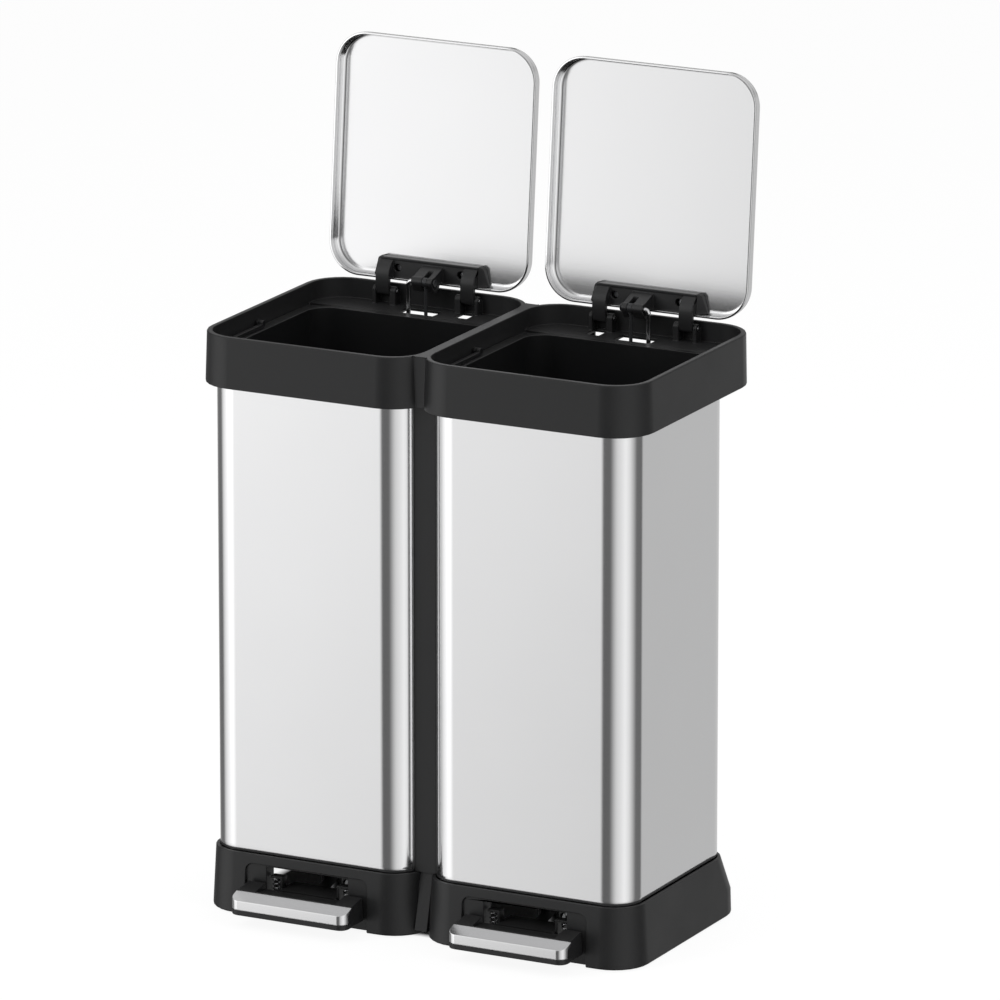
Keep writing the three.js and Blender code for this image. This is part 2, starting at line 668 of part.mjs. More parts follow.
// ---- The channel that hides the lift rod and holds the damper, behind each body.
function rearCover(centre, side) {
  const front = SHELL_DEPTH + FIT_GAP;
  const foot = BASE_TAIL_HEIGHT;
  let body = join(
    box(centre - COVER_HALF, centre + COVER_HALF, front, COVER_BACK, foot, COVER_TOP),
    box(
      centre - COVER_HALF - COVER_FLANGE,
      centre + COVER_HALF + COVER_FLANGE,
      front,
      front + COVER_WALL,
      BASE_HEIGHT + FIT_GAP,
      rimFoot - FIT_GAP,
    ),
  );
  const hollowHalf = COVER_HALF - COVER_WALL;
  const shelfTop = DAMPER_BOTTOM - FIT_GAP;
  body = cut(
    body,
    box(centre - PITCH, centre + PITCH, 0, LEDGE_BACK_WALL + FIT_GAP, rimFoot - FIT_GAP, RIM_TOP),
    box(centre - hollowHalf, centre + hollowHalf, front - 1, COVER_BACK - COVER_WALL, shelfTop, COVER_TOP + 1),
    box(centre - hollowHalf, centre + hollowHalf, front - 1, COVER_BACK - COVER_WALL, 0, shelfTop - COVER_SHELF),
  );
  const rodX0 = centre - side * ROD_X;
  const rodGap = box(
    rodX0 - LINK_ROD_RADIUS - 2,
    rodX0 + LINK_ROD_RADIUS + 2,
    front - 1,
    rodY + LINK_ROD_RADIUS + 2,
    shelfTop - 2 * COVER_SHELF,
    shelfTop + 1,
  );
  // Its foot follows the slope of the base's tail.
  const slope = (BASE_HEIGHT - BASE_TAIL_HEIGHT) / (BASE_TAIL - BASE_TAIL_TOP);
  const topY = SHELL_DEPTH + BASE_TAIL_TOP;
  const lift = 2 * FIT_GAP;
  const reach = COVER_BACK + 1 - topY;
  const tail = sideProfile(
    [
      [front - 2, -foot],
      [COVER_BACK + 1, -foot],
      [COVER_BACK + 1, BASE_HEIGHT + lift - slope * reach],
      [topY, BASE_HEIGHT + lift],
      [front - 2, BASE_HEIGHT + lift],
    ],
    centre - 2 * COVER_HALF,
    centre + 2 * COVER_HALF,
  );
  const clip = cut(
    rodZ(DAMPER_RADIUS + FIT_GAP + 2, centre - side * damperX, rodY, shelfTop - 1, shelfTop + 8),
    rodZ(DAMPER_RADIUS + FIT_GAP, centre - side * damperX, rodY, shelfTop, shelfTop + 9),
    rodGap,
  );
  return join(cut(body, rodGap, tail), clip);
}

// ---- Hinge and link pieces.
function damperCylinder(x) {
  const profile = [
    [0, DAMPER_BOTTOM],
    [DAMPER_RADIUS - 0.8, DAMPER_BOTTOM],
    [DAMPER_RADIUS, DAMPER_BOTTOM + 0.8],
    [DAMPER_RADIUS, DAMPER_TOP - 8],
    [DAMPER_RADIUS - 1, DAMPER_TOP - 7],
    [DAMPER_RADIUS - 1, DAMPER_TOP],
    [DAMPER_ROD_RADIUS + LINK_CLEARANCE, DAMPER_TOP],
    [DAMPER_ROD_RADIUS + LINK_CLEARANCE, DAMPER_BOTTOM + 10],
    [0, DAMPER_BOTTOM + 10],
  ];
  const geometry = new THREE.LatheGeometry(profile.map(([r, z]) => new THREE.Vector2(r, z)), 20);
  geometry.rotateX(Math.PI / 2);
  geometry.translate(x, rodY, 0);
  return solid(geometry);
}

function damperRod(x) {
  const half = (SPLIT_FAR - SPLIT_NEAR) / 2 - 0.4;
  const eye = rodX(DAMPER_EYE_RADIUS, x - half, x + half, rodY, rodTop, 24);
  const hole = rodX(LINK_ROD_RADIUS + FIT_GAP, x - half - 1, x + half + 1, rodY, rodTop, 16);
  const shank = rodZ(DAMPER_ROD_RADIUS, x, rodY, DAMPER_ROD_LOW, rodTop - LINK_ROD_RADIUS - 1, 14);
  return cut(join(shank, eye), hole);
}

function damperPin(centre, side) {
  const a = centre - side * (SPLIT_NEAR - 0.4);
  const b = centre - side * (BOSS_INNER + 1);
  const c = centre - side * (BOSS_INNER + 2.4);
  return join(
    rodX(LINK_ROD_RADIUS, Math.min(a, b), Math.max(a, b), rodY, rodTop, 16),
    rodX(LINK_ROD_RADIUS + 1.5, Math.min(b, c), Math.max(b, c), rodY, rodTop, 16),
  );
}

// The lift rod: a bent steel rod hooked into the boss above and into the lever's end below.
function liftRod(centre, side) {
  const x = centre - side * ROD_X;
  const upperEnd = centre - side * (SPLIT_NEAR - 1.2);
  const lowerEnd = centre - side * (LEVER_HALF + 3);
  const corners = [
    new THREE.Vector3(upperEnd, rodY, rodTop),
    new THREE.Vector3(x, rodY, rodTop),
    new THREE.Vector3(x, rodY, ROD_JOG_HIGH),
    new THREE.Vector3(x, ROD_LOW_Y, ROD_JOG_LOW),
    new THREE.Vector3(x, ROD_LOW_Y, leverPinZ),
    new THREE.Vector3(lowerEnd, ROD_LOW_Y, leverPinZ),
  ];
  return wire(bentPath(corners, Math.min(ROD_BEND, Math.abs(ROD_X - BOSS_OUTER) - 0.4)), LINK_ROD_RADIUS, 12);
}

// ---- Lid pieces are drawn closed, from the hinge axis, and turned open by their group.
function lidPan() {
  const half = LID_WIDTH / 2;
  const front = LID_REAR - LID_LENGTH;
  const ring = (inset, height) =>
    levelRing(-half + inset, half - inset, front + inset, LID_REAR - inset, LID_RADIUS - inset, LID_LIP + height);
  const step = LID_HEM - LID_SHEET;
  const outer = loft([
    ring(0.5, 0),
    ring(0, 0.5),
    ring(0, LID_HEM_HEIGHT),
    ring(step, LID_HEM_HEIGHT + step),
    ring(step, LID_DEPTH - 3),
    ring(step + 0.9, LID_DEPTH - 0.9),
    ring(step + 3, LID_DEPTH),
  ]);
  const inner = loft([ring(LID_HEM, -1), ring(LID_HEM, LID_DEPTH - 3), ring(step + 3, LID_DEPTH - LID_SHEET)]);
  return cut(outer, inner);
}

// Where the rods' pins lie in the lid's own frame as it opens, for the slot in the boss.
function linkPath(steps = 6) {
  return Array.from({ length: steps + 1 }, (_, i) => {
    const angle = (openRad * i) / steps;
    const z = linkHalf * ((2 * i) / steps - 1);
    return [
      -linkReach * Math.cos(angle) - z * Math.sin(angle),
      -linkReach * Math.sin(angle) + z * Math.cos(angle),
    ];
  });
}

function arcPoints(y, z, radius, from, to, steps) {
  return Array.from({ length: steps + 1 }, (_, i) => {
    const angle = THREE.MathUtils.degToRad(from + ((to - from) * i) / steps);
    return [y + radius * Math.cos(angle), z + radius * Math.sin(angle)];
  });
}

// The outline that wraps a set of points tightly, counter-clockwise.
function wrapped(points) {
  const sorted = [...points].sort((a, b) => a[0] - b[0] || a[1] - b[1]);
  const half = (ordered) => {
    const chain = [];
    for (const p of ordered) {
      while (chain.length > 1) {
        const [a, b] = chain.slice(-2);
        if ((b[0] - a[0]) * (p[1] - a[1]) - (b[1] - a[1]) * (p[0] - a[0]) > 1e-6) break;
        chain.pop();
      }
      chain.push(p);
    }
    return chain.slice(0, -1);
  };
  return [...half(sorted), ...half(sorted.reverse())];
}

function bracketEar(x0, x1) {
  const insideRear = LID_REAR - LID_HEM - 0.6;
  const underLip = LID_LIP - 0.6;
  const sweep = Array.from({ length: 8 }, (_, i) => {
    const t = (i + 1) / 9;
    const a = (1 - t) ** 2;
    const b = 2 * t * (1 - t);
    return [
      a * (insideRear - 3) - b * (BRACKET_REACH - 4) - t * t * BRACKET_REACH,
      -a * EAR_DEPTH - b * (EAR_DEPTH - 1) + t * t * (plateTop - 4),
    ];
  });
  const outline = [
    [insideRear, plateTop],
    [insideRear, underLip],
    ...arcPoints(0, 0, HINGE_HUB_RADIUS, 202, -70, 12),
    [insideRear + 9, -EAR_DEPTH],
    [insideRear - 3, -EAR_DEPTH],
    ...sweep,
    [-BRACKET_REACH, plateTop - 4],
    [-BRACKET_REACH, plateTop],
  ];
  const body = sideProfile(outline, x0, x1);
  return cut(body, rodX(HINGE_PIN_RADIUS + FIT_GAP, x0 - 1, x1 + 1, 0, 0, 16));
}

// The plate seen from below: its ends lean in towards the front edge and its front corners are round.
function bracketPlan(rear) {
  const front = BRACKET_HALF - BRACKET_TAPER;
  const corner = (side) =>
    Array.from({ length: 7 }, (_, i) => {
      const angle = Math.PI * (1 + (side < 0 ? 0 : 0.5) + i / 12);
      return new THREE.Vector2(
        side * (front - BRACKET_RADIUS) + BRACKET_RADIUS * Math.cos(angle),
        BRACKET_RADIUS - BRACKET_REACH + BRACKET_RADIUS * Math.sin(angle),
      );
    });
  return [
    ...corner(-1),
    ...corner(1),
    new THREE.Vector2(BRACKET_HALF, rear),
    new THREE.Vector2(-BRACKET_HALF, rear),
  ];
}

function lidBracket(side) {
  const insideRear = LID_REAR - LID_HEM - 0.6;
  const under = plateTop - BRACKET_PLATE;
  const webTop = under - BRACKET_WEB_DROP;
  const plan = bracketPlan(insideRear);
  const base = plate(plan, under, plateTop);
  const flares = [-1, 1].map((s) => {
    const profile = [
      [s * (earFar - 1), webTop - BRACKET_PLATE],
      [s * BRACKET_HALF, under - 1],
      [s * BRACKET_HALF, plateTop],
      [s * (earFar - 1), plateTop],
    ];
    const outline = (s > 0 ? profile : profile.reverse()).map(([x, z]) => new THREE.Vector2(x, z));
    return frontProfile(outline, -BRACKET_REACH, insideRear).intersect(plate(plan, -EAR_DEPTH, plateTop));
  });
  const hood = box(-earFar, earFar, -BRACKET_REACH, BRACKET_PLATE - BRACKET_REACH, webTop - 3, plateTop);
  const web = box(-earFar, earFar, -BRACKET_REACH + 0.5, insideRear, webTop - BRACKET_PLATE, webTop);
  const rearRib = box(-earFar, earFar, insideRear - BRACKET_PLATE, insideRear, webTop - 1, plateTop);
  const bossX = [-side * BOSS_OUTER, -side * BOSS_INNER];
  const [pinY, pinZ] = linkPath(1)[0];
  const boss = sideProfile(
    [
      [insideRear, webTop],
      [insideRear, LID_LIP - 1],
      [insideRear + 6.5, LID_LIP - 4.2],
      ...arcPoints(linkPath(2)[1][0], linkPath(2)[1][1], BOSS_RADIUS + 0.3, 60, -42, 5),
      ...arcPoints(pinY, pinZ, BOSS_RADIUS, -30, -190, 9),
      [4 - BRACKET_REACH, webTop - 1],
    ],
    Math.min(...bossX),
    Math.max(...bossX),
  );
  const slotEdge = linkPath().flatMap(([y, z]) => arcPoints(y, z, LINK_ROD_RADIUS + LINK_CLEARANCE, 0, 345, 23));
  const slot = sideProfile(wrapped(slotEdge), -BRACKET_HALF, BRACKET_HALF);
  const splitX = [-side * SPLIT_NEAR, -side * SPLIT_FAR];
  const split = box(Math.min(...splitX), Math.max(...splitX), -BRACKET_REACH, 0, -2 * LINK_RADIUS, LID_LIP - 4);
  const ears = [-1, 1].map((s) => bracketEar(Math.min(s * EAR_NEAR, s * earFar), Math.max(s * EAR_NEAR, s * earFar)));
  const screwHoles = [-1, 1].map((s) =>
    rodZ(SCREW_SHANK_RADIUS + FIT_GAP, s * SCREW_X, screwY(), webTop - 8, plateTop + 1, 12),
  );
  const screwWells = [-1, 1].map((s) =>
    rodZ(SCREW_RADIUS + FIT_GAP + 0.6, s * SCREW_X, screwY(), -EAR_DEPTH, under, 16),
  );
  const bossSolid = cut(boss, split, slot);
  // Its rear top edge is bevelled to clear the bend of the lid's panel.
  const bend = LID_REAR + LID_LIP + LID_DEPTH - LID_HEM - 3 - FIT_GAP * 1.5;
  const bevel = sideProfile(
    [
      [bend - plateTop - 1, plateTop + 1],
      [bend - LID_LIP - LID_DEPTH / 2, LID_LIP + LID_DEPTH / 2],
      [bend - LID_LIP - LID_DEPTH / 2, plateTop + 1],
    ],
    -BRACKET_HALF - 1,
    BRACKET_HALF + 1,
  );
  return cut(join(base, hood, web, rearRib, ...flares, ...ears, bossSolid), bevel, ...screwHoles, ...screwWells);
}

function screwY() {
  return (LID_REAR - LID_HEM - BRACKET_REACH) / 2;
}

function bracketScrew(x) {
  const under = plateTop - BRACKET_PLATE - FIT_GAP;
  return join(
    rodZ(SCREW_RADIUS, x, screwY(), under - 2, under, 16),
    rodZ(SCREW_SHANK_RADIUS, x, screwY(), under - 1, plateTop - 0.2, 10),
  );
}

// ---- Pedal pieces.
function treadSlopeAt(y) {
  const t = (y - PEDAL_FRONT) / (TREAD_BACK - PEDAL_FRONT);
  return TREAD_FRONT_TOP + t * (TREAD_BACK_TOP - TREAD_FRONT_TOP);
}

function pedalPlan(centre, inset, z0, z1) {
  const half = PEDAL_HALF - inset;
  return plate(
    roundedOutline(centre - half, centre + half, PEDAL_FRONT + inset, 4 * PEDAL_RADIUS, PEDAL_RADIUS - inset, 5),
    z0,
    z1,
  );
}

function pedalTread(centre) {
  const wide = [centre - 2 * PEDAL_HALF, centre + 2 * PEDAL_HALF];
  const sideEnd = PEDAL_FRONT + TREAD_SIDE;
  const outer = pedalPlan(centre, 0, 0, 2 * TREAD_BACK_TOP).intersect(
    sideProfile(
      [
        [PEDAL_FRONT - 1, TREAD_LOW],
        [sideEnd, TREAD_LOW],
        [sideEnd, TREAD_FRONT_TOP - 1],
        [TREAD_BACK, TREAD_BACK_TOP - 2],
        [TREAD_BACK, TREAD_BACK_TOP],
        [PEDAL_FRONT - 1, treadSlopeAt(PEDAL_FRONT - 1)],
      ],
      ...wide,
    ),
  );
  const inner = pedalPlan(centre, TREAD_SHEET, 0, 2 * TREAD_BACK_TOP).intersect(
    sideProfile(
      [
        [PEDAL_FRONT - 1, 0],
        [0, 0],
        [0, treadSlopeAt(0) - TREAD_SHEET],
        [PEDAL_FRONT - 1, treadSlopeAt(PEDAL_FRONT - 1) - TREAD_SHEET],
      ],
      ...wide,
    ),
  );
  return cut(outer, inner);
}

function pedalBody(centre) {
  const wide = [centre - 2 * PEDAL_HALF, centre + 2 * PEDAL_HALF];
  const skin = TREAD_SHEET + FIT_GAP;
  const core = pedalPlan(centre, skin, 0, 2 * TREAD_BACK_TOP).intersect(
    sideProfile(
      [
        [PEDAL_FRONT, PEDAL_LOW],
        [PEDAL_REAR + 3, PEDAL_LOW],
        [PEDAL_REAR, PEDAL_REAR_TOP],
        [TREAD_BACK + FIT_GAP, TREAD_BACK_TOP],
        [TREAD_BACK + FIT_GAP, TREAD_BACK_TOP - skin - 0.1],
        [PEDAL_FRONT, TREAD_FRONT_TOP - skin - 0.1],
      ],
      ...wide,
    ),
  );
  const lip = pedalPlan(centre, 0, PEDAL_LOW, TREAD_LOW - FIT_GAP).intersect(
    box(...wide, PEDAL_FRONT - 1, TREAD_BACK, 0, 2 * TREAD_LOW),
  );
  const dip = sideProfile(
    [
      [TREAD_BACK + 2, TREAD_BACK_TOP + 1],
      [TREAD_BACK + 8, PEDAL_DIP + 0.8],
      [PEDAL_REAR + 5, PEDAL_DIP],
      [PEDAL_REAR + 5, 2 * PEDAL_REAR_TOP],
      [TREAD_BACK + 2, 2 * PEDAL_REAR_TOP],
    ],
    centre - MOUTH_HALF + 1,
    centre + MOUTH_HALF - 1,
  );
  const hollow = sideProfile(
    [
      [PEDAL_FRONT + 3 + skin, 0],
      [PEDAL_FRONT + 3 + skin, TREAD_FRONT_TOP - skin - PEDAL_WALL],
      [TREAD_BACK, TREAD_BACK_TOP - skin - PEDAL_WALL - 1],
      [TREAD_BACK + 6, PEDAL_DIP - PEDAL_WALL],
      [PEDAL_REAR - PEDAL_WALL, PEDAL_DIP - PEDAL_WALL],
      [PEDAL_REAR - PEDAL_WALL + 2, 0],
    ],
    centre - PEDAL_HALF + skin + PEDAL_WALL + 4,
    centre + PEDAL_HALF - skin - PEDAL_WALL - 4,
  );
  const tongue = box(
    centre - TONGUE_HALF,
    centre + TONGUE_HALF,
    PEDAL_REAR - 1,
    TONGUE_REAR,
    PEDAL_LOW + 1,
    PEDAL_DIP,
  );
  const arms = [-1, 1].flatMap((side) => {
    const foot = [centre + side * (TONGUE_HALF - 1), centre + side * (TONGUE_HALF + 2)];
    const reach = [centre + side * (TONGUE_HALF - 1), centre + side * HORN_REACH];
    const y0 = SPRING_Y - SPRING_RADIUS - 1.6;
    const y1 = SPRING_Y + SPRING_RADIUS + 1.6;
    return [
      box(Math.min(...foot), Math.max(...foot), y0, y1, PEDAL_LOW + 4, HORN_LOW + HORN_THICKNESS),
      box(Math.min(...reach), Math.max(...reach), y0, y1, HORN_LOW, HORN_LOW + HORN_THICKNESS),
    ];
  });
  const pocketHalf = LEVER_HALF + 0.6;
  const pocket = box(
    centre - pocketHalf,
    centre + pocketHalf,
    LEVER_FRONT - 2,
    TONGUE_REAR + 1,
    0,
    LEVER_HIGH + FIT_GAP,
  );
  const tongueHollow = box(
    centre - TONGUE_HALF + PEDAL_WALL,
    centre + TONGUE_HALF - PEDAL_WALL,
    PEDAL_REAR + 4,
    TONGUE_REAR - PEDAL_WALL,
    0,
    PEDAL_DIP - PEDAL_WALL,
  ).subtract(
    box(centre - pocketHalf - PEDAL_WALL, centre + pocketHalf + PEDAL_WALL, -PITCH, PITCH, -PITCH, PITCH),
  );
  return cut(join(cut(join(core, lip), dip, hollow), cut(tongue, tongueHollow), ...arms), pocket);
}

// A pressed steel channel, open below: the pedal end, the bored hub and the long arm to the lift rod.
function pedalLever(centre) {
  const eye = LINK_ROD_RADIUS + 2;
  const outline = (drop) => [
    [LEVER_FRONT, LEVER_LOW - drop * 20],
    [TONGUE_REAR + 4, LEVER_LOW - drop * 20],
    [PIVOT_Y, PIVOT_Z - 7 - drop * 20],
    [ROD_LOW_Y, leverPinZ - eye - drop * 20],
    [ROD_LOW_Y + eye, leverPinZ - 2 - drop * 20],
    [ROD_LOW_Y + eye, leverPinZ + eye - 1 - drop * LEVER_SHEET],
    [ROD_LOW_Y - 2, leverPinZ + eye - drop * LEVER_SHEET],
    [PIVOT_Y, PIVOT_Z + 7 - drop * LEVER_SHEET],
    [TONGUE_REAR + 2, LEVER_HIGH - drop * LEVER_SHEET],
    [LEVER_FRONT, LEVER_HIGH - drop * LEVER_SHEET],
  ];
  const inside = LEVER_HALF - LEVER_SHEET;
  return cut(
    sideProfile(outline(0), centre - LEVER_HALF, centre + LEVER_HALF),
    sideProfile(outline(1), centre - inside, centre + inside),
    rodX(PIVOT_RADIUS + FIT_GAP, centre - 30, centre + 30, PIVOT_Y, PIVOT_Z),
    rodX(LINK_ROD_RADIUS + LEVER_EYE_SLACK, centre - 30, centre + 30, ROD_LOW_Y, leverPinZ),
  );
}

// Return spring: an open helix standing between the base's shelf and the pedal's horn.
function returnSpring(x) {
  const low = SPRING_FOOT + SPRING_WIRE;
  const high = HORN_LOW - FIT_GAP - SPRING_WIRE;
  const steps = SPRING_TURNS * 8;
  const points = Array.from({ length: steps + 1 }, (_, i) => {
    const angle = (2 * Math.PI * i) / 8;
    return new THREE.Vector3(
      x + SPRING_RADIUS * Math.cos(angle),
      SPRING_Y + SPRING_RADIUS * Math.sin(angle),
      low + ((high - low) * i) / steps,
    );
  });
  return { body: wire(points, SPRING_WIRE, 5), points };
}

function leastSelfGap(points, wireRadius, stepsPerTurn) {
  let least = Infinity;
  for (let i = 0; i < points.length; i++) {
    for (let j = i + Math.ceil(stepsPerTurn / 2); j < points.length; j++) {
      least = Math.min(least, points[i].distanceTo(points[j]));
    }
  }
  return least - 2 * wireRadius;
}

// ---- Bucket and its folding handle.
const flangeHalf = apertureHalf - BUCKET_SIDE_GAP;
const flangeFront = apertureFront + BUCKET_SIDE_GAP;
const flangeRear = LEDGE_FRONT - BUCKET_SIDE_GAP / 2;
const flangeTop = seatTop + FIT_GAP + BUCKET_FLANGE;
const handleZ = flangeTop + HANDLE_LIFT + HANDLE_HUB_RADIUS;
const lugInside = flangeHalf - HANDLE_LUG_WALL;
const armOutside = lugInside - 0.5;

function bucket(centre) {
  const half = holeHalf - BUCKET_SLACK;
  const ring = (inset, z) =>
    levelRing(
      centre - half + inset,
      centre + half - inset,
      holeFront + BUCKET_SLACK + inset,
      holeRear - BUCKET_SLACK - inset,
      BUCKET_RADIUS - inset / 3,
      z,
    );
  const flangeFoot = flangeTop - BUCKET_FLANGE;
  const outer = loft([ring(BUCKET_TAPER + 3, BUCKET_FLOOR), ring(BUCKET_TAPER, BUCKET_FLOOR + 4), ring(0, flangeTop)]);
  const inner = loft([
    ring(BUCKET_TAPER + BUCKET_WALL + 2, BUCKET_FLOOR + BUCKET_WALL),
    ring(BUCKET_TAPER + BUCKET_WALL, BUCKET_FLOOR + BUCKET_WALL + 4),
    ring(BUCKET_WALL, flangeTop + 1),
  ]);
  const flange = plate(
    roundedOutline(
      centre - flangeHalf,
      centre + flangeHalf,
      flangeFront,
      flangeRear,
      SHELL_RADIUS + RIM_OVERHANG - RIM_WALL - BUCKET_SIDE_GAP,
    ),
    flangeFoot,
    flangeTop,
  );
  const lugs = [-1, 1].map((side) => {
    const x = [centre + side * lugInside, centre + side * flangeHalf];
    const span = [Math.min(...x), Math.max(...x)];
    return cut(
      join(
        box(...span, handleY - HANDLE_HUB_RADIUS, handleY + HANDLE_HUB_RADIUS, flangeFoot, handleZ),
        rodX(HANDLE_HUB_RADIUS, ...span, handleY, handleZ, 16),
      ),
      rodX(HANDLE_PIN_RADIUS + FIT_GAP, span[0] - 1, span[1] + 1, handleY, handleZ, 12),
    );
  });
  return join(cut(join(outer, flange), inner), ...lugs);
}

function bucketHandle(centre) {
  const z0 = flangeTop + HANDLE_LIFT;
  const front = flangeFront + 3;
  const radius = SHELL_RADIUS;
  const outline = (inset) =>
    roundedOutline(
      centre - armOutside + inset,
      centre + armOutside - inset,
      front + inset,
      2 * SHELL_DEPTH,
      radius - inset,
    );
  const bow = cut(
    plate(outline(0), z0, z0 + HANDLE_THICKNESS),
    plate(outline(HANDLE_WIDTH), z0 - 1, z0 + HANDLE_THICKNESS + 1),
    box(centre - 2 * armOutside, centre + 2 * armOutside, handleY, 3 * SHELL_DEPTH, 0, 2 * z0),
  );
  const grip = box(centre - 45, centre + 45, front, front + HANDLE_WIDTH + 2, z0, z0 + HANDLE_THICKNESS + 2);
  const ends = [-1, 1].flatMap((side) => {
    const arm = [centre + side * (armOutside - HANDLE_WIDTH), centre + side * armOutside];
    const pin = [centre + side * (armOutside - 1), centre + side * (flangeHalf - 0.4)];
    return [
      rodX(HANDLE_HUB_RADIUS, Math.min(...arm), Math.max(...arm), handleY, handleZ, 16),
      rodX(HANDLE_PIN_RADIUS, Math.min(...pin), Math.max(...pin), handleY, handleZ, 12),
    ];
  });
  return join(bow, grip, ...ends);
}

// ---- The assembly.
piece("base", base(), blackPlastic);
piece("top_rim", topRim(), blackPlastic);
piece("centre_strip_front", centreStrip(STRIP_FRONT, 1), blackPlastic);
piece("centre_strip_rear", centreStrip(SHELL_DEPTH - STRIP_FRONT, -1), blackPlastic);

for (const [label, side] of [
  ["left", -1],
  ["right", 1],
]) {
  const centre = (side * PITCH) / 2;
  piece(`shell_${label}`, shell(centre), brushedSteel);
  piece(`rear_cover_${label}`, rearCover(centre, side), blackPlastic);
  for (const [end, [x, y]] of Object.entries(footPlaces(side))) {
    const pad = rodZ(FOOT_RADIUS, x, y, -FOOT_PROUD, 0, 24);
    piece(`foot_${end}_${label}`, join(pad, rodZ(FOOT_STEM_RADIUS, x, y, -0.5, FOOT_STEM_LENGTH, 12)), rubber);
  }

  const axleHalf = LEVER_HALF + 1 + HANGER_WALL + 1.5;
  piece(`pedal_axle_${label}`, rodX(PIVOT_RADIUS, centre - axleHalf, centre + axleHalf, PIVOT_Y, PIVOT_Z), plainSteel);
  piece(`pedal_lever_${label}`, pedalLever(centre), plainSteel);
  piece(`pedal_body_${label}`, pedalBody(centre), blackPlastic);
  piece(`pedal_tread_${label}`, pedalTread(centre), brushedSteel);
  for (const [end, s] of [
    ["outer", side],
    ["inner", -side],
  ]) {
    const spring = returnSpring(centre + s * SPRING_X);
    piece(`pedal_spring_${end}_${label}`, spring.body, plainSteel);
    if (label === "left" && end === "outer") {
      const gap = leastSelfGap(spring.points, SPRING_WIRE, 8);
      console.log(`pedal spring: least gap between curls ${gap.toFixed(2)} mm`);
    }
    const [[a0, a1], [b0, b1]] = postSpans(centre, s);
    const pinEnds = [Math.min(a0, b0) - 0.8, Math.max(a1, b1) + 0.8];
    piece(`hinge_pin_${end}_${label}`, rodX(HINGE_PIN_RADIUS, ...pinEnds, HINGE_Y, HINGE_Z, 16), plainSteel);
  }

  piece(`lift_rod_${label}`, liftRod(centre, side), plainSteel);
  piece(`damper_cylinder_${label}`, damperCylinder(centre - side * damperX), blackSteel);
  piece(`damper_rod_${label}`, damperRod(centre - side * damperX), blackSteel);
  piece(`damper_pin_${label}`, damperPin(centre, side), plainSteel);

  const lid = new THREE.Group();
  lid.position.set(centre, HINGE_Y, HINGE_Z);
  lid.rotation.x = -openRad;
  model.add(lid);
  piece(`lid_${label}`, lidPan(), brushedSteel, lid);
  piece(`lid_bracket_${label}`, lidBracket(side), blackPlastic, lid);
  piece(`bracket_screw_a_${label}`, bracketScrew(-SCREW_X), plainSteel, lid);
  piece(`bracket_screw_b_${label}`, bracketScrew(SCREW_X), plainSteel, lid);

  piece(`bucket_${label}`, bucket(centre), blackPlastic);
  piece(`bucket_handle_${label}`, bucketHandle(centre), blackPlastic);
}

// Stand the assembly on the floor with the middle of its outer box over the origin.
model.updateMatrixWorld(true);
const bounds = new THREE.Box3().setFromObject(model, true);
model.position.set(0, -(bounds.min.y + bounds.max.y) / 2, FOOT_PROUD);
model.updateMatrixWorld(true);

export default model;
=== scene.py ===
import json

import bmesh
import bpy
import numpy as np
from mathutils import Matrix, Vector


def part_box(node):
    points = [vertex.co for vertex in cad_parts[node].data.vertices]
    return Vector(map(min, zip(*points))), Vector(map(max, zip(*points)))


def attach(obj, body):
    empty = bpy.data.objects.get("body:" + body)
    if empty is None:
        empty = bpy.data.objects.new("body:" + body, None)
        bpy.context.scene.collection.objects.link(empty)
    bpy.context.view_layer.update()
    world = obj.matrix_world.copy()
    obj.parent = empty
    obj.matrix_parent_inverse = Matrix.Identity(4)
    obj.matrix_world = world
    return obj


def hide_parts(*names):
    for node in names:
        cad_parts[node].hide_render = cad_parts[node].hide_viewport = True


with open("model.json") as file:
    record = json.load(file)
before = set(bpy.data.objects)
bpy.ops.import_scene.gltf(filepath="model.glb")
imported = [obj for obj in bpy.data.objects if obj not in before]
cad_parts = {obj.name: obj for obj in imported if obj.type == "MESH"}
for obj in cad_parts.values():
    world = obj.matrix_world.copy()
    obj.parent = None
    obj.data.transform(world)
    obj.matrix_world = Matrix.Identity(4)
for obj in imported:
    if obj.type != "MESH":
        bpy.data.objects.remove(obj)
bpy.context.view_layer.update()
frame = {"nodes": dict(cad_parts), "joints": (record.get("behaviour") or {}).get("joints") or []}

nodes = frame["nodes"]

# ---- Studio: a camera a little to the right of and above the bins, a white floor and soft lamps. The
# metal mirrors a pale room with a few darker stretches, which draws the bands down the round corners.
camera_right = np.array([0.8890, 0.4579, 0.0])
camera_up = np.array([-0.1197, 0.2324, 0.9652])
camera_back = np.array([0.4419, -0.8581, 0.2614])
camera_place = (camera_right * 0.08901 + camera_up * 0.46777 + camera_back * 10.801) + [0, -0.13197, 0.0015]
camera_data = bpy.data.cameras.new("camera")
camera_data.sensor_width = 36.0
camera_data.lens = 364.73
camera_data.clip_end = 60.0
camera = bpy.data.objects.new("camera", camera_data)
bpy.context.scene.collection.objects.link(camera)
turn = Matrix([camera_right, camera_up, camera_back]).transposed().to_4x4()
camera.matrix_world = Matrix.Translation(Vector(camera_place)) @ turn
bpy.context.scene.camera = camera
bpy.context.scene.view_settings.view_transform = "Standard"


def add_node(tree, kind, **values):
    """Adds a shader node and sets its properties. A key in_X sets the input of that name or number."""
    made = tree.nodes.new(kind)
    for key, value in values.items():
        if key.startswith("in_"):
            name = key[3:]
            made.inputs[int(name) if name.isdigit() else name.replace("_", " ")].default_value = value
        else:
            setattr(made, key, value)
    return made


def wire_up(tree, *pairs):
    """Links each output to the input beside it."""
    for out, into in pairs:
        tree.links.new(out, into)


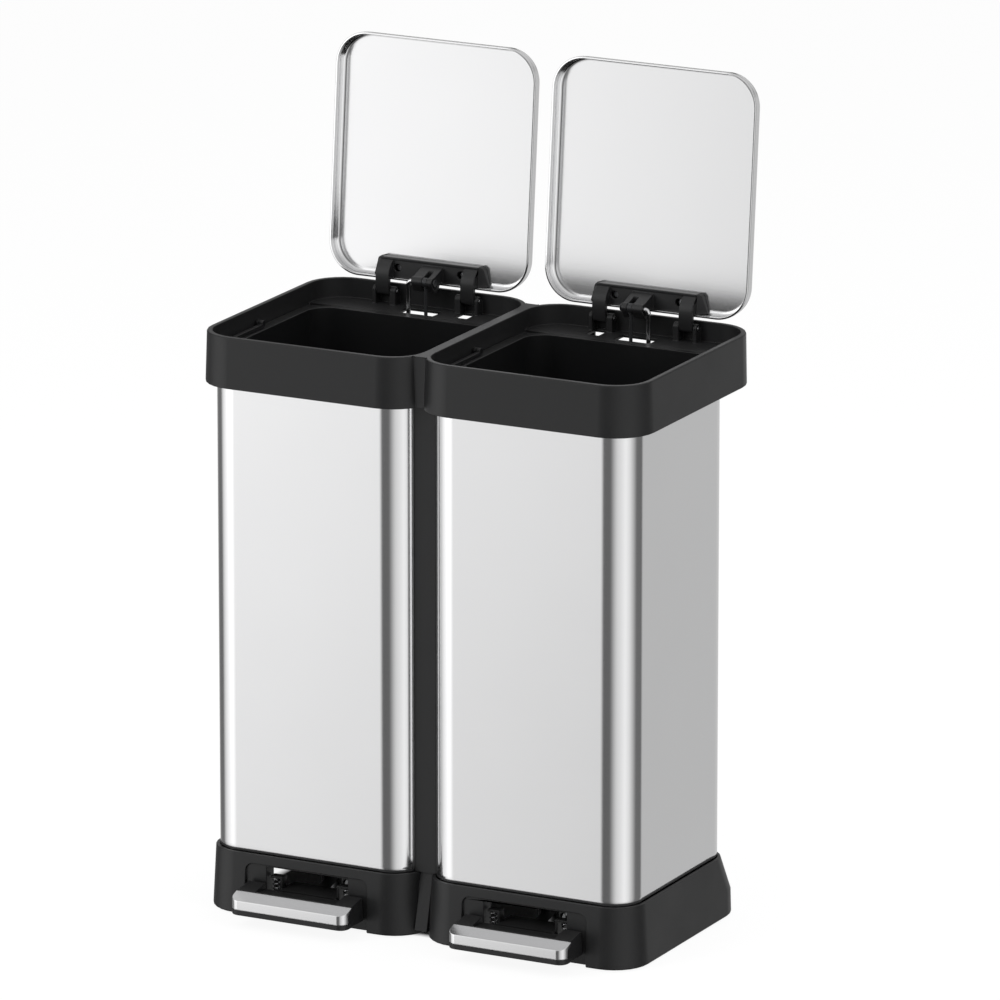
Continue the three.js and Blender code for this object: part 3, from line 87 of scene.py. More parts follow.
def set_ramp(node, stops):
    """stops are (position, grey) pairs of a colour ramp."""
    elements = node.color_ramp.elements
    while len(elements) < len(stops):
        elements.new(0.5)
    for element, (position, grey) in zip(elements, stops):
        element.position = position
        element.color = (grey, grey, grey, 1)


world = bpy.data.worlds.new("studio")
bpy.context.scene.world = world
world.use_nodes = True
tree = world.node_tree
tree.nodes.clear()
direction = add_node(tree, "ShaderNodeTexCoord")
parts = add_node(tree, "ShaderNodeSeparateXYZ")
around = add_node(tree, "ShaderNodeMath", operation="ARCTAN2")
around_share = add_node(tree, "ShaderNodeMapRange", in_1=-np.pi, in_2=np.pi)
walls = add_node(tree, "ShaderNodeValToRGB")
# Greys of the room by compass direction, from behind the bins round the left, the front and the right.
set_ramp(walls, [
    (0.000, 0.30), (0.026, 0.90), (0.060, 1.30), (0.125, 1.80), (0.157, 1.66), (0.173, 1.24), (0.197, 0.18),
    (0.272, 0.16), (0.300, 0.42), (0.340, 0.76), (0.430, 1.06), (0.475, 0.88), (0.520, 0.52), (0.560, 0.17),
    (0.640, 0.16), (0.662, 0.56), (0.700, 0.60), (0.800, 0.66), (0.860, 0.62), (0.905, 0.22), (0.950, 0.16),
    (0.985, 0.17),
])
lower = add_node(tree, "ShaderNodeMapRange", in_1=-0.31, in_2=-0.20, in_3=0.66, in_4=1.0)
front_only = add_node(tree, "ShaderNodeMapRange", in_1=0.20, in_2=0.32, in_3=1.0, in_4=0.0)
fall_off = add_node(tree, "ShaderNodeMix", data_type="FLOAT", in_2=1.0)
shaded = add_node(tree, "ShaderNodeMath", operation="MULTIPLY")
overhead = add_node(tree, "ShaderNodeMapRange", in_1=0.35, in_2=0.75)
ceiling = add_node(tree, "ShaderNodeMix", data_type="FLOAT", in_3=0.66)
# A dark rail stands behind the bins, just above the camera's horizon, and the room darkens towards the feet.
rail_foot = add_node(tree, "ShaderNodeMapRange", in_1=0.01, in_2=0.05)
rail_head = add_node(tree, "ShaderNodeMapRange", in_1=0.16, in_2=0.21, in_3=1.0, in_4=0.0)
behind = add_node(tree, "ShaderNodeMapRange", in_1=0.69, in_2=0.73)
rail = add_node(tree, "ShaderNodeMath", operation="MULTIPLY")
rail_behind = add_node(tree, "ShaderNodeMath", operation="MULTIPLY")
rail_tone = add_node(tree, "ShaderNodeMapRange", in_3=1.0, in_4=0.04)
underfoot = add_node(tree, "ShaderNodeMapRange", in_1=-0.80, in_2=-0.45, in_3=0.22, in_4=1.0)
darker = add_node(tree, "ShaderNodeMath", operation="MULTIPLY")
darkest = add_node(tree, "ShaderNodeMath", operation="MULTIPLY")
path = add_node(tree, "ShaderNodeLightPath")
by_ray = add_node(tree, "ShaderNodeMix", data_type="FLOAT", in_2=0.62)
seen = add_node(tree, "ShaderNodeMix", data_type="FLOAT", in_3=1.0)
background = add_node(tree, "ShaderNodeBackground")
world_out = add_node(tree, "ShaderNodeOutputWorld")
mirrored = add_node(tree, "ShaderNodeMath", operation="MAXIMUM")
wire_up(
    tree,
    (direction.outputs["Generated"], parts.inputs[0]),
    (parts.outputs[1], around.inputs[0]),
    (parts.outputs[0], around.inputs[1]),
    (around.outputs[0], around_share.inputs[0]),
    (around_share.outputs[0], walls.inputs[0]),
    (around_share.outputs[0], front_only.inputs[0]),
    (parts.outputs[2], lower.inputs[0]),
    (front_only.outputs[0], fall_off.inputs[0]),
    (lower.outputs[0], fall_off.inputs[3]),
    (walls.outputs[0], shaded.inputs[0]),
    (fall_off.outputs[0], shaded.inputs[1]),
    (parts.outputs[2], overhead.inputs[0]),
    (parts.outputs[2], rail_foot.inputs[0]),
    (parts.outputs[2], rail_head.inputs[0]),
    (parts.outputs[2], underfoot.inputs[0]),
    (around_share.outputs[0], behind.inputs[0]),
    (rail_foot.outputs[0], rail.inputs[0]),
    (rail_head.outputs[0], rail.inputs[1]),
    (rail.outputs[0], rail_behind.inputs[0]),
    (behind.outputs[0], rail_behind.inputs[1]),
    (rail_behind.outputs[0], rail_tone.inputs[0]),
    (shaded.outputs[0], darker.inputs[0]),
    (rail_tone.outputs[0], darker.inputs[1]),
    (darker.outputs[0], darkest.inputs[0]),
    (underfoot.outputs[0], darkest.inputs[1]),
    (overhead.outputs[0], ceiling.inputs[0]),
    (darkest.outputs[0], ceiling.inputs[2]),
    (path.outputs["Is Glossy Ray"], mirrored.inputs[0]),
    (path.outputs["Is Transmission Ray"], mirrored.inputs[1]),
    (mirrored.outputs[0], by_ray.inputs[0]),
    (ceiling.outputs[0], by_ray.inputs[3]),
    (path.outputs["Is Camera Ray"], seen.inputs[0]),
    (by_ray.outputs[0], seen.inputs[2]),
    (seen.outputs[0], background.inputs[0]),
    (background.outputs[0], world_out.inputs[0]),
)

floor_mesh = bpy.data.meshes.new("floor")
floor_mesh.from_pydata([(-6, -6, 0), (6, -6, 0), (6, 6, 0), (-6, 6, 0)], [], [(0, 1, 2, 3)])
floor = bpy.data.objects.new("floor", floor_mesh)
bpy.context.scene.collection.objects.link(floor)
floor.visible_glossy = False  # the metal mirrors the room, as it does over a lit sweep of paper
# The paper glows as a lit sweep does, but not under the base, where no lamp reaches it.
floor_paper = bpy.data.materials.new("floor paper")
floor_paper.use_nodes = True
tree = floor_paper.node_tree
tree.nodes.clear()
path = add_node(tree, "ShaderNodeLightPath")
place = add_node(tree, "ShaderNodeTexCoord")
apart = add_node(tree, "ShaderNodeSeparateXYZ")
aside = add_node(tree, "ShaderNodeMath", operation="ABSOLUTE")
along = add_node(tree, "ShaderNodeMath", operation="ABSOLUTE")
beside = add_node(tree, "ShaderNodeMapRange", in_1=0.238, in_2=0.250)
beyond = add_node(tree, "ShaderNodeMapRange", in_1=0.108, in_2=0.120)
open_floor = add_node(tree, "ShaderNodeMath", operation="MAXIMUM")
share = add_node(tree, "ShaderNodeMath", operation="MULTIPLY")
weight = add_node(tree, "ShaderNodeMath", operation="MULTIPLY", in_1=0.90)
lit = add_node(tree, "ShaderNodeBsdfDiffuse", in_Color=(0.86, 0.86, 0.86, 1))
glow = add_node(tree, "ShaderNodeEmission", in_Color=(1, 1, 1, 1), in_Strength=1.02)
both = add_node(tree, "ShaderNodeMixShader")
floor_out = add_node(tree, "ShaderNodeOutputMaterial")
wire_up(
    tree,
    (place.outputs["Object"], apart.inputs[0]),
    (apart.outputs[0], aside.inputs[0]),
    (apart.outputs[1], along.inputs[0]),
    (aside.outputs[0], beside.inputs[0]),
    (along.outputs[0], beyond.inputs[0]),
    (beside.outputs[0], open_floor.inputs[0]),
    (beyond.outputs[0], open_floor.inputs[1]),
    (path.outputs["Is Camera Ray"], share.inputs[0]),
    (open_floor.outputs[0], share.inputs[1]),
    (share.outputs[0], weight.inputs[0]),
    (weight.outputs[0], both.inputs[0]),
    (lit.outputs[0], both.inputs[1]),
    (glow.outputs[0], both.inputs[2]),
    (both.outputs[0], floor_out.inputs[0]),
)
floor_mesh.materials.append(floor_paper)

for lamp_name, place, size, watts in (
    ("key lamp", (-1.6, -2.6, 2.6), 1.8, 62),
    ("side lamp", (2.8, -0.6, 1.9), 1.6, 26),
    ("top lamp", (0.2, 0.6, 3.0), 2.2, 40),
):
    lamp_data = bpy.data.lights.new(lamp_name, "AREA")
    lamp_data.size = size
    lamp_data.energy = watts
    lamp = bpy.data.objects.new(lamp_name, lamp_data)
    bpy.context.scene.collection.objects.link(lamp)
    lamp.visible_glossy = False
    aim = Vector(place) - Vector((0, 0, 0.35))
    lamp.matrix_world = Matrix.Translation(place) @ aim.to_track_quat("Z", "Y").to_matrix().to_4x4()


# ---- Steel bodies: each a tube of 0.7 mm stainless sheet, bent round the corners and welded down the
# back, with the grain of the brushing running level round it. The base and the rim hold its two ends.
def rounded_path(half_x, front, rear, radius, centre_x=0.0):
    """A rounded rectangle, counter-clockwise, as corner centres and outward directions: the outline is
    centre + radius * direction. Each straight side has a point 1.5 mm inside either end, so that its
    shading stays flat."""
    turn_steps = 28
    corners = np.array([
        [half_x - radius, front + radius],
        [half_x - radius, rear - radius],
        [radius - half_x, rear - radius],
        [radius - half_x, front + radius],
    ])
    centres, directions = [], []
    for k in range(4):
        angles = np.pi / 2 * (k - 1 + np.linspace(0, 1, turn_steps + 1))
        centres.append(np.repeat(corners[k : k + 1], turn_steps + 1, 0))
        directions.append(np.stack([np.cos(angles), np.sin(angles)], 1))
        step = corners[(k + 1) % 4] - corners[k]
        margin = 0.0015 / np.linalg.norm(step)
        along = np.array([margin, 0.5, 1 - margin])[:, None]
        centres.append(corners[k] + along * step)
        directions.append(np.repeat(directions[-1][-1:], 3, 0))
    return np.concatenate(centres) + [centre_x, 0], np.concatenate(directions)


def skin(rows, wrap=False):
    """Vertices and faces of a surface given as rows of points, each row a closed ring: point i of a row,
    its neighbour i + 1 and the two beside them in the next row make a face. A row of one point is a pole.
    With wrap, the last row is joined to the first."""
    starts = np.cumsum([0] + [len(row) for row in rows])
    quads, threes = [], []
    pairs = [(k, k + 1) for k in range(len(rows) - 1)] + ([(len(rows) - 1, 0)] if wrap else [])
    for a, b in pairs:
        n = max(len(rows[a]), len(rows[b]))
        i = np.arange(n)
        j = (i + 1) % n
        if len(rows[a]) == 1:
            threes.append(np.stack([np.full(n, starts[a]), starts[b] + j, starts[b] + i], 1))
        elif len(rows[b]) == 1:
            threes.append(np.stack([starts[a] + i, starts[a] + j, np.full(n, starts[b])], 1))
        else:
            quads.append(np.stack([starts[a] + i, starts[a] + j, starts[b] + j, starts[b] + i], 1))
    faces = [face.tolist() for group in quads + threes for face in group]
    return np.concatenate(rows), faces


def add_piece(name, points, faces, material, body, slot, node=None):
    """Makes the mesh object, smooth, lets it ride on a body and hides the CAD node that it stands for."""
    mesh = bpy.data.meshes.new(name)
    mesh.from_pydata(points, [], faces)
    mesh.shade_smooth()
    mesh.update()
    made = bpy.data.objects.new(name, mesh)
    bpy.context.scene.collection.objects.link(made)
    mesh.materials.append(material)
    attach(made, body)
    if node:
        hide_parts(node)


def carried_round(path_centres, path_directions, profile):
    """Rows of a profile carried round a path. Each profile entry is (reach, height, spread): the ring lies
    at middle + spread * (centre - middle + reach * direction), and spread 0 gives a pole."""
    middle = (path_centres.min(0) + path_centres.max(0)) / 2
    rows = []
    for reach, height, spread in profile:
        ring = middle + spread * (path_centres - middle + reach * path_directions)
        row = np.column_stack([ring, np.full(len(ring), height)])
        rows.append(row[:1] if spread == 0 else row)
    return rows


def streak_group():
    """Brushing: noise stretched along one direction. Spacing scales the object's coordinates per axis, so
    a small number runs along the grain. Gives the fine lines and a slow, broad change of tone."""
    group = bpy.data.node_groups.new("brushing", "ShaderNodeTree")
    group.interface.new_socket("Spacing", in_out="INPUT", socket_type="NodeSocketVector")
    for name in ("Lines", "Tone"):
        group.interface.new_socket(name, in_out="OUTPUT", socket_type="NodeSocketFloat")
    entry = add_node(group, "NodeGroupInput")
    leave = add_node(group, "NodeGroupOutput")
    place = add_node(group, "ShaderNodeTexCoord")
    stretch = add_node(group, "ShaderNodeVectorMath", operation="MULTIPLY")
    fine = add_node(group, "ShaderNodeTexNoise", in_Scale=1.0, in_Detail=4.0, in_Roughness=0.7)
    broad = add_node(group, "ShaderNodeTexNoise", in_Scale=5.0, in_Detail=2.0)
    wire_up(
        group,
        (place.outputs["Object"], stretch.inputs[0]),
        (entry.outputs["Spacing"], stretch.inputs[1]),
        (stretch.outputs[0], fine.inputs["Vector"]),
        (place.outputs["Object"], broad.inputs["Vector"]),
        (fine.outputs[0], leave.inputs["Lines"]),
        (broad.outputs[0], leave.inputs["Tone"]),
    )
    return group


brushing = streak_group()


def metal(name, colour, roughness, spacing, line_depth, tone, metallic=1.0):
    """A metal whose colour, roughness and height all follow the brushing: colour by a share of tone either
    way, roughness by a share of 0.12, height by line_depth in metres."""
    made = bpy.data.materials.new(name)
    made.use_nodes = True
    tree = made.node_tree
    shader = tree.nodes["Principled BSDF"]
    shader.inputs["Metallic"].default_value = metallic
    lines = add_node(tree, "ShaderNodeGroup", node_tree=brushing)
    lines.inputs["Spacing"].default_value = spacing
    colours = add_node(tree, "ShaderNodeValToRGB")
    colours.color_ramp.elements[0].position, colours.color_ramp.elements[1].position = 0.3, 0.7
    for element, shift in zip(colours.color_ramp.elements, (1 - tone, 1 + tone)):
        element.color = (*(min(1.0, c * shift) for c in colour), 1)
    blended = add_node(tree, "ShaderNodeMix", data_type="FLOAT", in_0=0.35)
    rough = add_node(tree, "ShaderNodeMapRange", in_1=0.3, in_2=0.7)
    rough.inputs[3].default_value = roughness * (1 - 0.12)
    rough.inputs[4].default_value = roughness * (1 + 0.12)
    relief = add_node(tree, "ShaderNodeBump", in_Strength=0.5, in_Distance=line_depth)
    wire_up(
        tree,
        (lines.outputs["Lines"], blended.inputs[2]),
        (lines.outputs["Tone"], blended.inputs[3]),
        (blended.outputs[0], colours.inputs[0]),
        (colours.outputs[0], shader.inputs["Base Color"]),
        (lines.outputs["Lines"], rough.inputs[0]),
        (rough.outputs[0], shader.inputs["Roughness"]),
        (lines.outputs["Lines"], relief.inputs["Height"]),
        (relief.outputs[0], shader.inputs["Normal"]),
    )
    return made


body_steel = metal("body steel", (0.80, 0.80, 0.805), 0.15, (9, 9, 1900), 0.000004, tone=0.025)
body_sheet, body_radius, body_margin = 0.0007, 0.0325, 0.012
for side in ("left", "right"):
    low, high = (np.array(corner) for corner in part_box(f"shell_{side}"))
    path = rounded_path((high[0] - low[0]) / 2, low[1], high[1], body_radius, (low[0] + high[0]) / 2)
    bottom, top = low[2], high[2]
    outside = (bottom, bottom + body_margin, (bottom + top) / 2, top - body_margin, top)
    profile = [(body_radius, height, 1) for height in outside]
    profile += [(body_radius - body_sheet, height, 1) for height in (top, bottom)]
    points, faces = skin(carried_round(*path, profile), wrap=True)
    add_piece(f"steel_body_{side}", points, faces, body_steel, "frame", "brushed_steel", f"shell_{side}")


# ---- Weld seams: a bead 3 mm wide where the two edges of each body's sheet meet at the back, ground down
# almost flush, with a faint ripple along it.
seam_steel = metal("ground weld", (0.66, 0.66, 0.665), 0.32, (700, 700, 160), 0.00001, tone=0.10)
seam_offset, seam_half, seam_rise, seam_rings, seam_sides = 0.075, 0.0015, 0.00012, 160, 8
for side, sign in (("left", -1), ("right", 1)):
    low, high = (np.array(corner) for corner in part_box(f"shell_{side}"))
    middle = (low[0] + high[0]) / 2 + sign * seam_offset
    heights = np.linspace(low[2] + 0.012, high[2] - 0.034, seam_rings)
    across = np.linspace(0, 2 * np.pi, seam_sides + 1)[:-1]
    ripple = 1 + 0.12 * np.sin(heights * 900) * np.sin(heights * 211)
    ring_x = middle + seam_half * np.cos(across)[None, :] * ripple[:, None]
    ring_y = high[1] + seam_rise * np.sin(across)
    rows = [np.column_stack([x, ring_y, np.full(seam_sides, z)]) for x, z in zip(ring_x, heights)]
    rows = [rows[0].mean(0)[None]] + rows + [rows[-1].mean(0)[None]]
    add_piece(f"weld_seam_{side}", *skin(rows), seam_steel, "frame", "brushed_steel")


# ---- Black mouldings: base, top rim, closing strips and rear covers, injection moulded in polypropylene
# with a fine satin grain and softly broken edges.
def grain_group():
    """Moulded grain: fine noise and small cells for the height, a slow noise for the tone, and dust that
    settles where a surface looks up."""
    group = bpy.data.node_groups.new("moulded grain", "ShaderNodeTree")
    group.interface.new_socket("Size", in_out="INPUT", socket_type="NodeSocketFloat")
    for name in ("Height", "Tone", "Dust"):
        group.interface.new_socket(name, in_out="OUTPUT", socket_type="NodeSocketFloat")
    entry = add_node(group, "NodeGroupInput")
    leave = add_node(group, "NodeGroupOutput")
    place = add_node(group, "ShaderNodeTexCoord")
    fine = add_node(group, "ShaderNodeTexNoise", in_Detail=3.0, in_Roughness=0.6)
    cells = add_node(group, "ShaderNodeTexVoronoi", feature="SMOOTH_F1")
    height = add_node(group, "ShaderNodeMath", operation="MULTIPLY_ADD", in_1=0.5)
    broad = add_node(group, "ShaderNodeTexNoise", in_Scale=14.0, in_Detail=4.0)
    facing = add_node(group, "ShaderNodeNewGeometry")
    upward = add_node(group, "ShaderNodeSeparateXYZ")
    top = add_node(group, "ShaderNodeMapRange", in_1=0.5, in_2=1.0)
    dust = add_node(group, "ShaderNodeMath", operation="MULTIPLY")
    wire_up(
        group,
        (place.outputs["Object"], fine.inputs["Vector"]),
        (place.outputs["Object"], cells.inputs["Vector"]),
        (place.outputs["Object"], broad.inputs["Vector"]),
        (entry.outputs["Size"], fine.inputs["Scale"]),
        (entry.outputs["Size"], cells.inputs["Scale"]),
        (cells.outputs["Distance"], height.inputs[0]),
        (fine.outputs[0], height.inputs[2]),
        (height.outputs[0], leave.inputs["Height"]),
        (broad.outputs[0], leave.inputs["Tone"]),
        (facing.outputs["Normal"], upward.inputs[0]),
        (upward.outputs[2], top.inputs[0]),
        (top.outputs[0], dust.inputs[0]),
        (broad.outputs[0], dust.inputs[1]),
        (dust.outputs[0], leave.inputs["Dust"]),
    )
    return group


moulded_grain = grain_group()


def plastic(name, colour, roughness, size, depth, specular):
    """A moulded plastic: base colour with a slow change of tone and a trace of dust on what looks up. The
    grain has size cells to the metre and is depth metres deep."""
    made = bpy.data.materials.new(name)
    made.use_nodes = True
    tree = made.node_tree
    shader = tree.nodes["Principled BSDF"]
    shader.inputs["Specular IOR Level"].default_value = specular
    grain = add_node(tree, "ShaderNodeGroup", node_tree=moulded_grain)
    grain.inputs["Size"].default_value = size
    tones = add_node(tree, "ShaderNodeValToRGB")
    for element, shift in zip(tones.color_ramp.elements, (0.80, 1.2)):
        element.color = (*(c * shift for c in colour), 1)
    weak = add_node(tree, "ShaderNodeMath", operation="MULTIPLY", in_1=0.04)
    dusty = add_node(tree, "ShaderNodeMix", data_type="RGBA")
    dusty.inputs[7].default_value = (0.16, 0.155, 0.15, 1)
    rough = add_node(tree, "ShaderNodeMapRange", in_1=0.2, in_2=0.8)
    rough.inputs[3].default_value = roughness * 0.85
    rough.inputs[4].default_value = roughness * 1.15
    relief = add_node(tree, "ShaderNodeBump", in_Strength=0.35, in_Distance=depth)
    wire_up(
        tree,
        (grain.outputs["Tone"], tones.inputs[0]),
        (grain.outputs["Dust"], weak.inputs[0]),
        (weak.outputs[0], dusty.inputs[0]),
        (tones.outputs[0], dusty.inputs[6]),
        (dusty.outputs[2], shader.inputs["Base Color"]),
        (grain.outputs["Tone"], rough.inputs[0]),
        (rough.outputs[0], shader.inputs["Roughness"]),
        (grain.outputs["Height"], relief.inputs["Height"]),
        (relief.outputs[0], shader.inputs["Normal"]),
    )
    return made


def softened(node, body, material, edge, segments=2, limit=32):
    """A copy of the node's solid with its triangles merged back into flat faces, its edges sharper than
    limit degrees rounded by a bevel edge metres wide, and its shading weighted by face area."""
    source = nodes[node]
    mesh = bpy.data.meshes.new(f"{node}_moulding")
    work = bmesh.new()
    work.from_mesh(source.data)
    work.transform(source.matrix_world)
    bmesh.ops.remove_doubles(work, verts=work.verts, dist=2e-6)
    bmesh.ops.dissolve_limit(work, angle_limit=np.radians(0.4), verts=work.verts, edges=work.edges)
    bmesh.ops.recalc_face_normals(work, faces=work.faces)
    work.to_mesh(mesh)
    work.free()
    mesh.shade_smooth()
    mesh.materials.append(material)
    made = bpy.data.objects.new(f"{node}_moulding", mesh)
    bpy.context.scene.collection.objects.link(made)
    bevel = made.modifiers.new("broken edges", "BEVEL")
    bevel.width = edge
    bevel.segments = segments
    bevel.limit_method = "ANGLE"
    bevel.angle_limit = np.radians(limit)
    bevel.use_clamp_overlap = False
    bevel.miter_outer = "MITER_ARC"
    weighted = made.modifiers.new("flat faces stay flat", "WEIGHTED_NORMAL")
    weighted.weight = 60
    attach(made, body)
    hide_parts(node)


satin_black = plastic("satin black moulding", (0.0105, 0.0106, 0.0110), 0.42, 2600, 0.00004, specular=0.37)
softened("base", "frame", satin_black, 0.0007)
softened("top_rim", "frame", satin_black, 0.0008, segments=3)
for node in ("centre_strip_front", "centre_strip_rear", "rear_cover_left", "rear_cover_right"):
    softened(node, "frame", satin_black, 0.0004)


# ---- Lids: pans of 0.9 mm stainless with a round-edged panel and a folded hem, hung on the bracket.
# Each is worked out lying closed, from the hinge axis, and turned to the open pose.
lid_steel = metal("lid steel", (0.83, 0.83, 0.835), 0.16, (9, 1700, 1700), 0.000003, tone=0.02)
lid_lip, lid_rear, lid_front, lid_half, lid_radius = -0.0013, -0.0122, -0.2782, 0.1210, 0.037
lid_swing = np.radians(-95)
joint_of = {joint["child"]: joint for joint in frame["joints"]}


def quarter(reach, height, radius, start, end, steps):
    """Points of a small arc in the profile, as (reach, height, 1): centre + radius * (cos a, sin a) for the
    angles a from start to end, in degrees."""
    angles = np.radians(np.linspace(start, end, steps + 1))
    return [(reach + radius * c, height + radius * s, 1) for c, s in zip(np.cos(angles), np.sin(angles))]


# From the middle of the outside over the outer bend, round the folded hem and back under the panel.
hem = lid_radius
lid_profile = (
    [(hem - 0.0070, 0.0160, 0), (hem - 0.0070, 0.0160, 0.5), (hem - 0.0072, 0.0160, 1)]
    + quarter(hem - 0.0060, 0.0110, 0.0050, 90, 0, 9)
    + [(hem - 0.0010, 0.0058, 1), (hem - 0.0010, 0.0053, 1)]
    + quarter(hem - 0.0010, 0.0043, 0.0009, 80, 0, 3)
    + [(hem - 0.0001, 0.0013, 1), (hem - 0.00013, 0.0009, 1), (hem - 0.00030, 0.00052, 1)]
    + [(hem - 0.00052, 0.00034, 1), (hem - 0.00128, 0.00008, 1), (hem - 0.00150, 0.00003, 1)]
    + [(hem - 0.00185, 0.00008, 1)]
    + quarter(hem - 0.00175, 0.00058, 0.00055, -105, -175, 4)
    + [(hem - 0.0023, 0.0040, 1)]
    + quarter(hem - 0.0026, 0.0043, 0.0003, 10, 90, 2)
    + [(hem - 0.0026, 0.0049, 1), (hem - 0.0021, 0.0053, 1), (hem - 0.0019, 0.0056, 1)]
    + [(hem - 0.0019, 0.0102, 1)]
    + quarter(hem - 0.0064, 0.0106, 0.0045, 0, 90, 9)
    + [(hem - 0.0078, 0.0151, 1), (hem - 0.0078, 0.0151, 0.5), (hem - 0.0078, 0.0151, 0)]
)
for side in ("left", "right"):
    path = rounded_path(lid_half, lid_front, lid_rear, lid_radius)
    points, faces = skin(carried_round(*path, lid_profile)[::-1])
    x, y, z = (points + [0, 0, lid_lip]).T
    leaned = np.column_stack([
        x,
        y * np.cos(lid_swing) - z * np.sin(lid_swing),
        y * np.sin(lid_swing) + z * np.cos(lid_swing),
    ]) + joint_of[f"lid_unit_{side}"]["pos_m"]
    add_piece(f"lid_pan_{side}", leaned, faces, lid_steel, f"lid_unit_{side}", "brushed_steel", f"lid_{side}")


# ---- Hinge brackets: black glass-filled nylon, screwed up under each lid, with two ears on steel pins and
# a slotted boss in the middle that the lift rod and the damper hook into.
bracket_black = plastic("bracket nylon", (0.012, 0.0121, 0.0126), 0.36, 3400, 0.00003, specular=0.42)
pin_steel = metal("bright pin", (0.78, 0.78, 0.79), 0.16, (60, 2400, 2400), 0.000002, tone=0.05)
screw_zinc = metal("zinc screw", (0.60, 0.61, 0.63), 0.30, (900, 900, 900), 0.000006, tone=0.10)
for side in ("left", "right"):
    softened(f"lid_bracket_{side}", f"lid_unit_{side}", bracket_black, 0.0006)
    for end in ("outer", "inner"):
        softened(f"hinge_pin_{end}_{side}", "frame", pin_steel, 0.0003)
    for mark in ("a", "b"):
        softened(f"bracket_screw_{mark}_{side}", f"lid_unit_{side}", screw_zinc, 0.0003)


# ---- Lift rods: 5 mm polished steel wire with a hook at each end, one through the bracket's boss and one
# through the pedal lever, joggled forward below the middle of the back.
def round_wire(path, radius, sides=16):
    """Rows of rings round a path: point + radius * (cos a * normal + sin a * other), where normal is carried
    along without twist and other = way x normal. A pole on a low dome closes either end."""
    path = np.asarray(path, float)
    along = np.gradient(path, axis=0)
    along /= np.linalg.norm(along, axis=1)[:, None]
    first = np.array([0.0, 1.0, 0.0]) if abs(along[0][1]) < 0.9 else np.array([1.0, 0.0, 0.0])
    angles = np.linspace(0, 2 * np.pi, sides + 1)[:-1]
    rows, normal = [], first
    for point, way in zip(path, along):
        normal = normal - way * (normal @ way)
        normal /= np.linalg.norm(normal)
        other = np.cross(way, normal)
        rows.append(point + radius * (np.cos(angles)[:, None] * normal + np.sin(angles)[:, None] * other))
    for end, way, index in ((path[0], -along[0], 0), (path[-1], along[-1], -1)):
        ring = rows[index]
        rim, small, pole = ring - way * radius * 0.25, end + (ring - end) * 0.75, end[None]
        if index == 0:
            rows[0] = rim
            rows = [pole, small] + rows
        else:
            rows[-1] = rim
            rows = rows + [small, pole]
    return rows


def bent(corners, bend):
    """Straight stretches between corners, each corner rounded by the curve (1-t)^2 * start + 2t(1-t) *
    corner + t^2 * stop, whose ends lie bend metres from it."""
    corners = [np.array(c, float) for c in corners]
    path, steps = [corners[0]], 10
    for before, here, after in zip(corners, corners[1:], corners[2:]):
        start = here + bend * (before - here) / np.linalg.norm(before - here)
        stop = here + bend * (after - here) / np.linalg.norm(after - here)
        t = np.linspace(0, 1, steps + 1)[:, None]
        curve = (1 - t) ** 2 * start + 2 * t * (1 - t) * here + t**2 * stop
        path.extend(curve)
    path.append(corners[-1])
    return path


rod_radius, rod_bend = 0.0025, 0.0051
joggle_top, joggle_foot = 0.1515, 0.1215
bin_centre, lower_hook = 0.131, 0.0105
for side, sign in (("left", -1), ("right", 1)):
    low, high = (np.array(corner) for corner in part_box(f"lift_rod_{side}"))
    inner = high[0] if sign < 0 else low[0]
    outer = (low[0] + rod_radius) if sign < 0 else (high[0] - rod_radius)
    lower_end = sign * bin_centre - sign * lower_hook
    back_y, front_y = high[1] - rod_radius, low[1] + rod_radius
    top_z, pin_z = high[2] - rod_radius, low[2] + rod_radius
    corners = [
        (inner, back_y, top_z), (outer, back_y, top_z), (outer, back_y, joggle_top),
        (outer, front_y, joggle_foot), (outer, front_y, pin_z), (lower_end, front_y, pin_z),
    ]
    points, faces = skin(round_wire(bent(corners, rod_bend), rod_radius))
    add_piece(f"lift_wire_{side}", points, faces, pin_steel, f"lift_unit_{side}", "plated_steel",
              f"lift_rod_{side}")


# ---- Dampers: a thin black rod with an eye on the boss's pin, sliding in a blackened steel cylinder that
# stands in a clip in the rear cover.
damper_black = metal("blackened steel", (0.035, 0.036, 0.038), 0.34, (60, 60, 500), 0.000003, tone=0.06,
                     metallic=0.5)
for side in ("left", "right"):
    softened(f"damper_cylinder_{side}", "frame", damper_black, 0.0004)
    softened(f"damper_rod_{side}", f"damper_unit_{side}", damper_black, 0.0002)
    softened(f"damper_pin_{side}", f"damper_unit_{side}", damper_black, 0.0003)


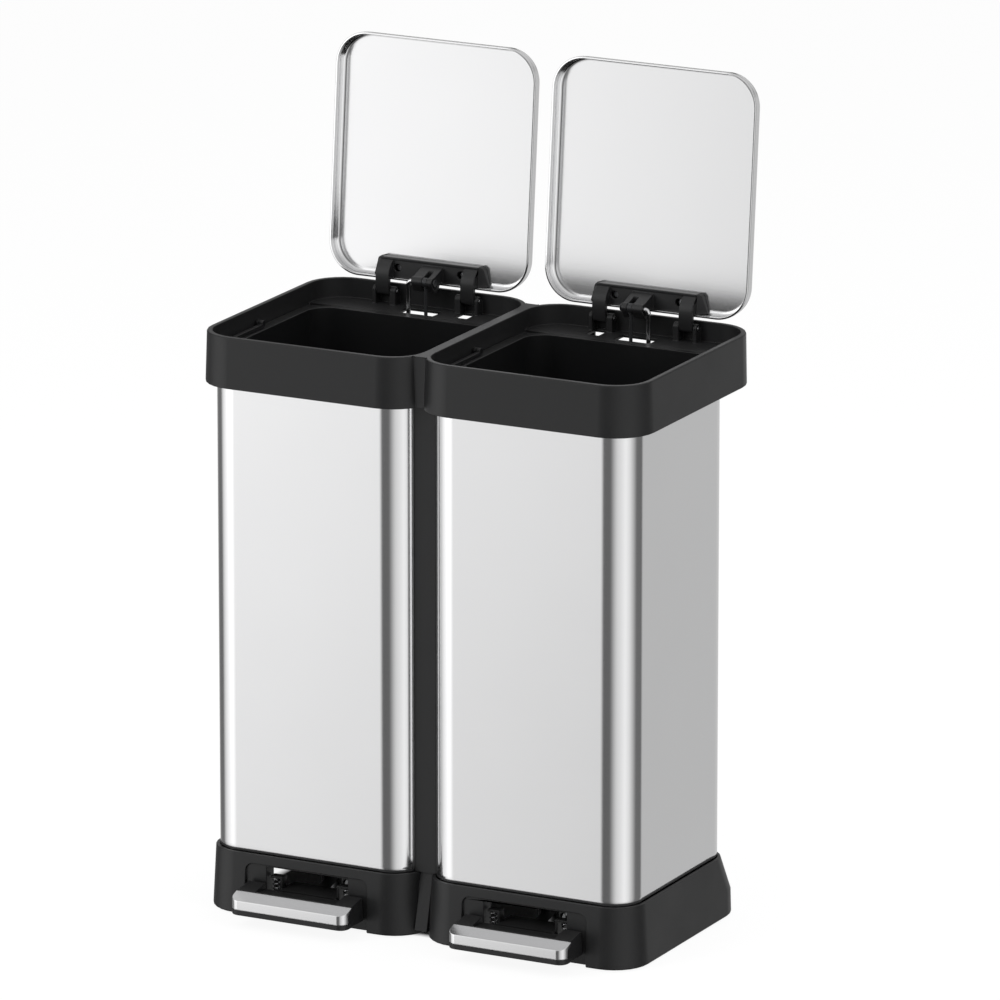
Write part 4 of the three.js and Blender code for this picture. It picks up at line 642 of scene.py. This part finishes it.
# ---- Pedals: a black moulded foot under a folded stainless tread, on a pressed steel lever that runs
# back under the bins on a steel axle.
tread_steel = metal("tread steel", (0.76, 0.76, 0.765), 0.17, (9, 1500, 1500), 0.000004, tone=0.03)
lever_steel = metal("dull zinc lever", (0.30, 0.305, 0.31), 0.40, (160, 40, 160), 0.000008, tone=0.12)
for side in ("left", "right"):
    softened(f"pedal_body_{side}", f"pedal_unit_{side}", satin_black, 0.0005)
    softened(f"pedal_tread_{side}", f"pedal_unit_{side}", tread_steel, 0.0007, segments=3,
             limit=24)
    softened(f"pedal_lever_{side}", f"pedal_unit_{side}", lever_steel, 0.0004)
    softened(f"pedal_axle_{side}", "frame", lever_steel, 0.0004)


# ---- Return springs: 1.2 mm spring wire wound in open turns, standing between the base's shelf and the
# pedal's horn at each side of the opening.
spring_steel = metal("spring wire", (0.50, 0.50, 0.51), 0.22, (900, 900, 2400), 0.000002, tone=0.06)
turns, wire_radius, coil_radius = 7, 0.0006, 0.0034
angle = np.linspace(0, 2 * np.pi * turns, turns * 26 + 1)
for side in ("left", "right"):
    for end in ("outer", "inner"):
        node = f"pedal_spring_{end}_{side}"
        low, high = (np.array(corner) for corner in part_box(node))
        middle = (low + high) / 2
        helix = np.column_stack([
            middle[0] + coil_radius * np.cos(angle),
            middle[1] + coil_radius * np.sin(angle),
            low[2] + wire_radius + (high[2] - low[2] - 2 * wire_radius) * np.linspace(0, 1, len(angle)),
        ])
        points, faces = skin(round_wire(helix, wire_radius, sides=10))
        add_piece(f"coil_{end}_{side}", points, faces, spring_steel, "frame", "plated_steel", node)


# ---- Buckets: thin black polypropylene, tapering down to a round-edged floor, with a flat flange that
# hangs on the rim's ledge and a bail handle folded forward on it.
bucket_black = plastic("bucket moulding", (0.006, 0.0061, 0.0064), 0.33, 1500, 0.00002, specular=0.40)
for side in ("left", "right"):
    softened(f"bucket_{side}", f"bucket_unit_{side}", bucket_black, 0.0005)
    softened(f"bucket_handle_{side}", f"handle_unit_{side}", bucket_black, 0.0005)


# ---- Feet: round rubber pads, each with a stem pressed from below into a boss of the base, so that the
# bins stand just clear of the floor and don't slide.
foot_rubber = plastic("foot rubber", (0.014, 0.014, 0.0145), 0.75, 900, 0.00006, specular=0.3)
for side in ("left", "right"):
    for end in ("front", "rear"):
        softened(f"foot_{end}_{side}", "frame", foot_rubber, 0.0004)

bpy.context.view_layer.update()
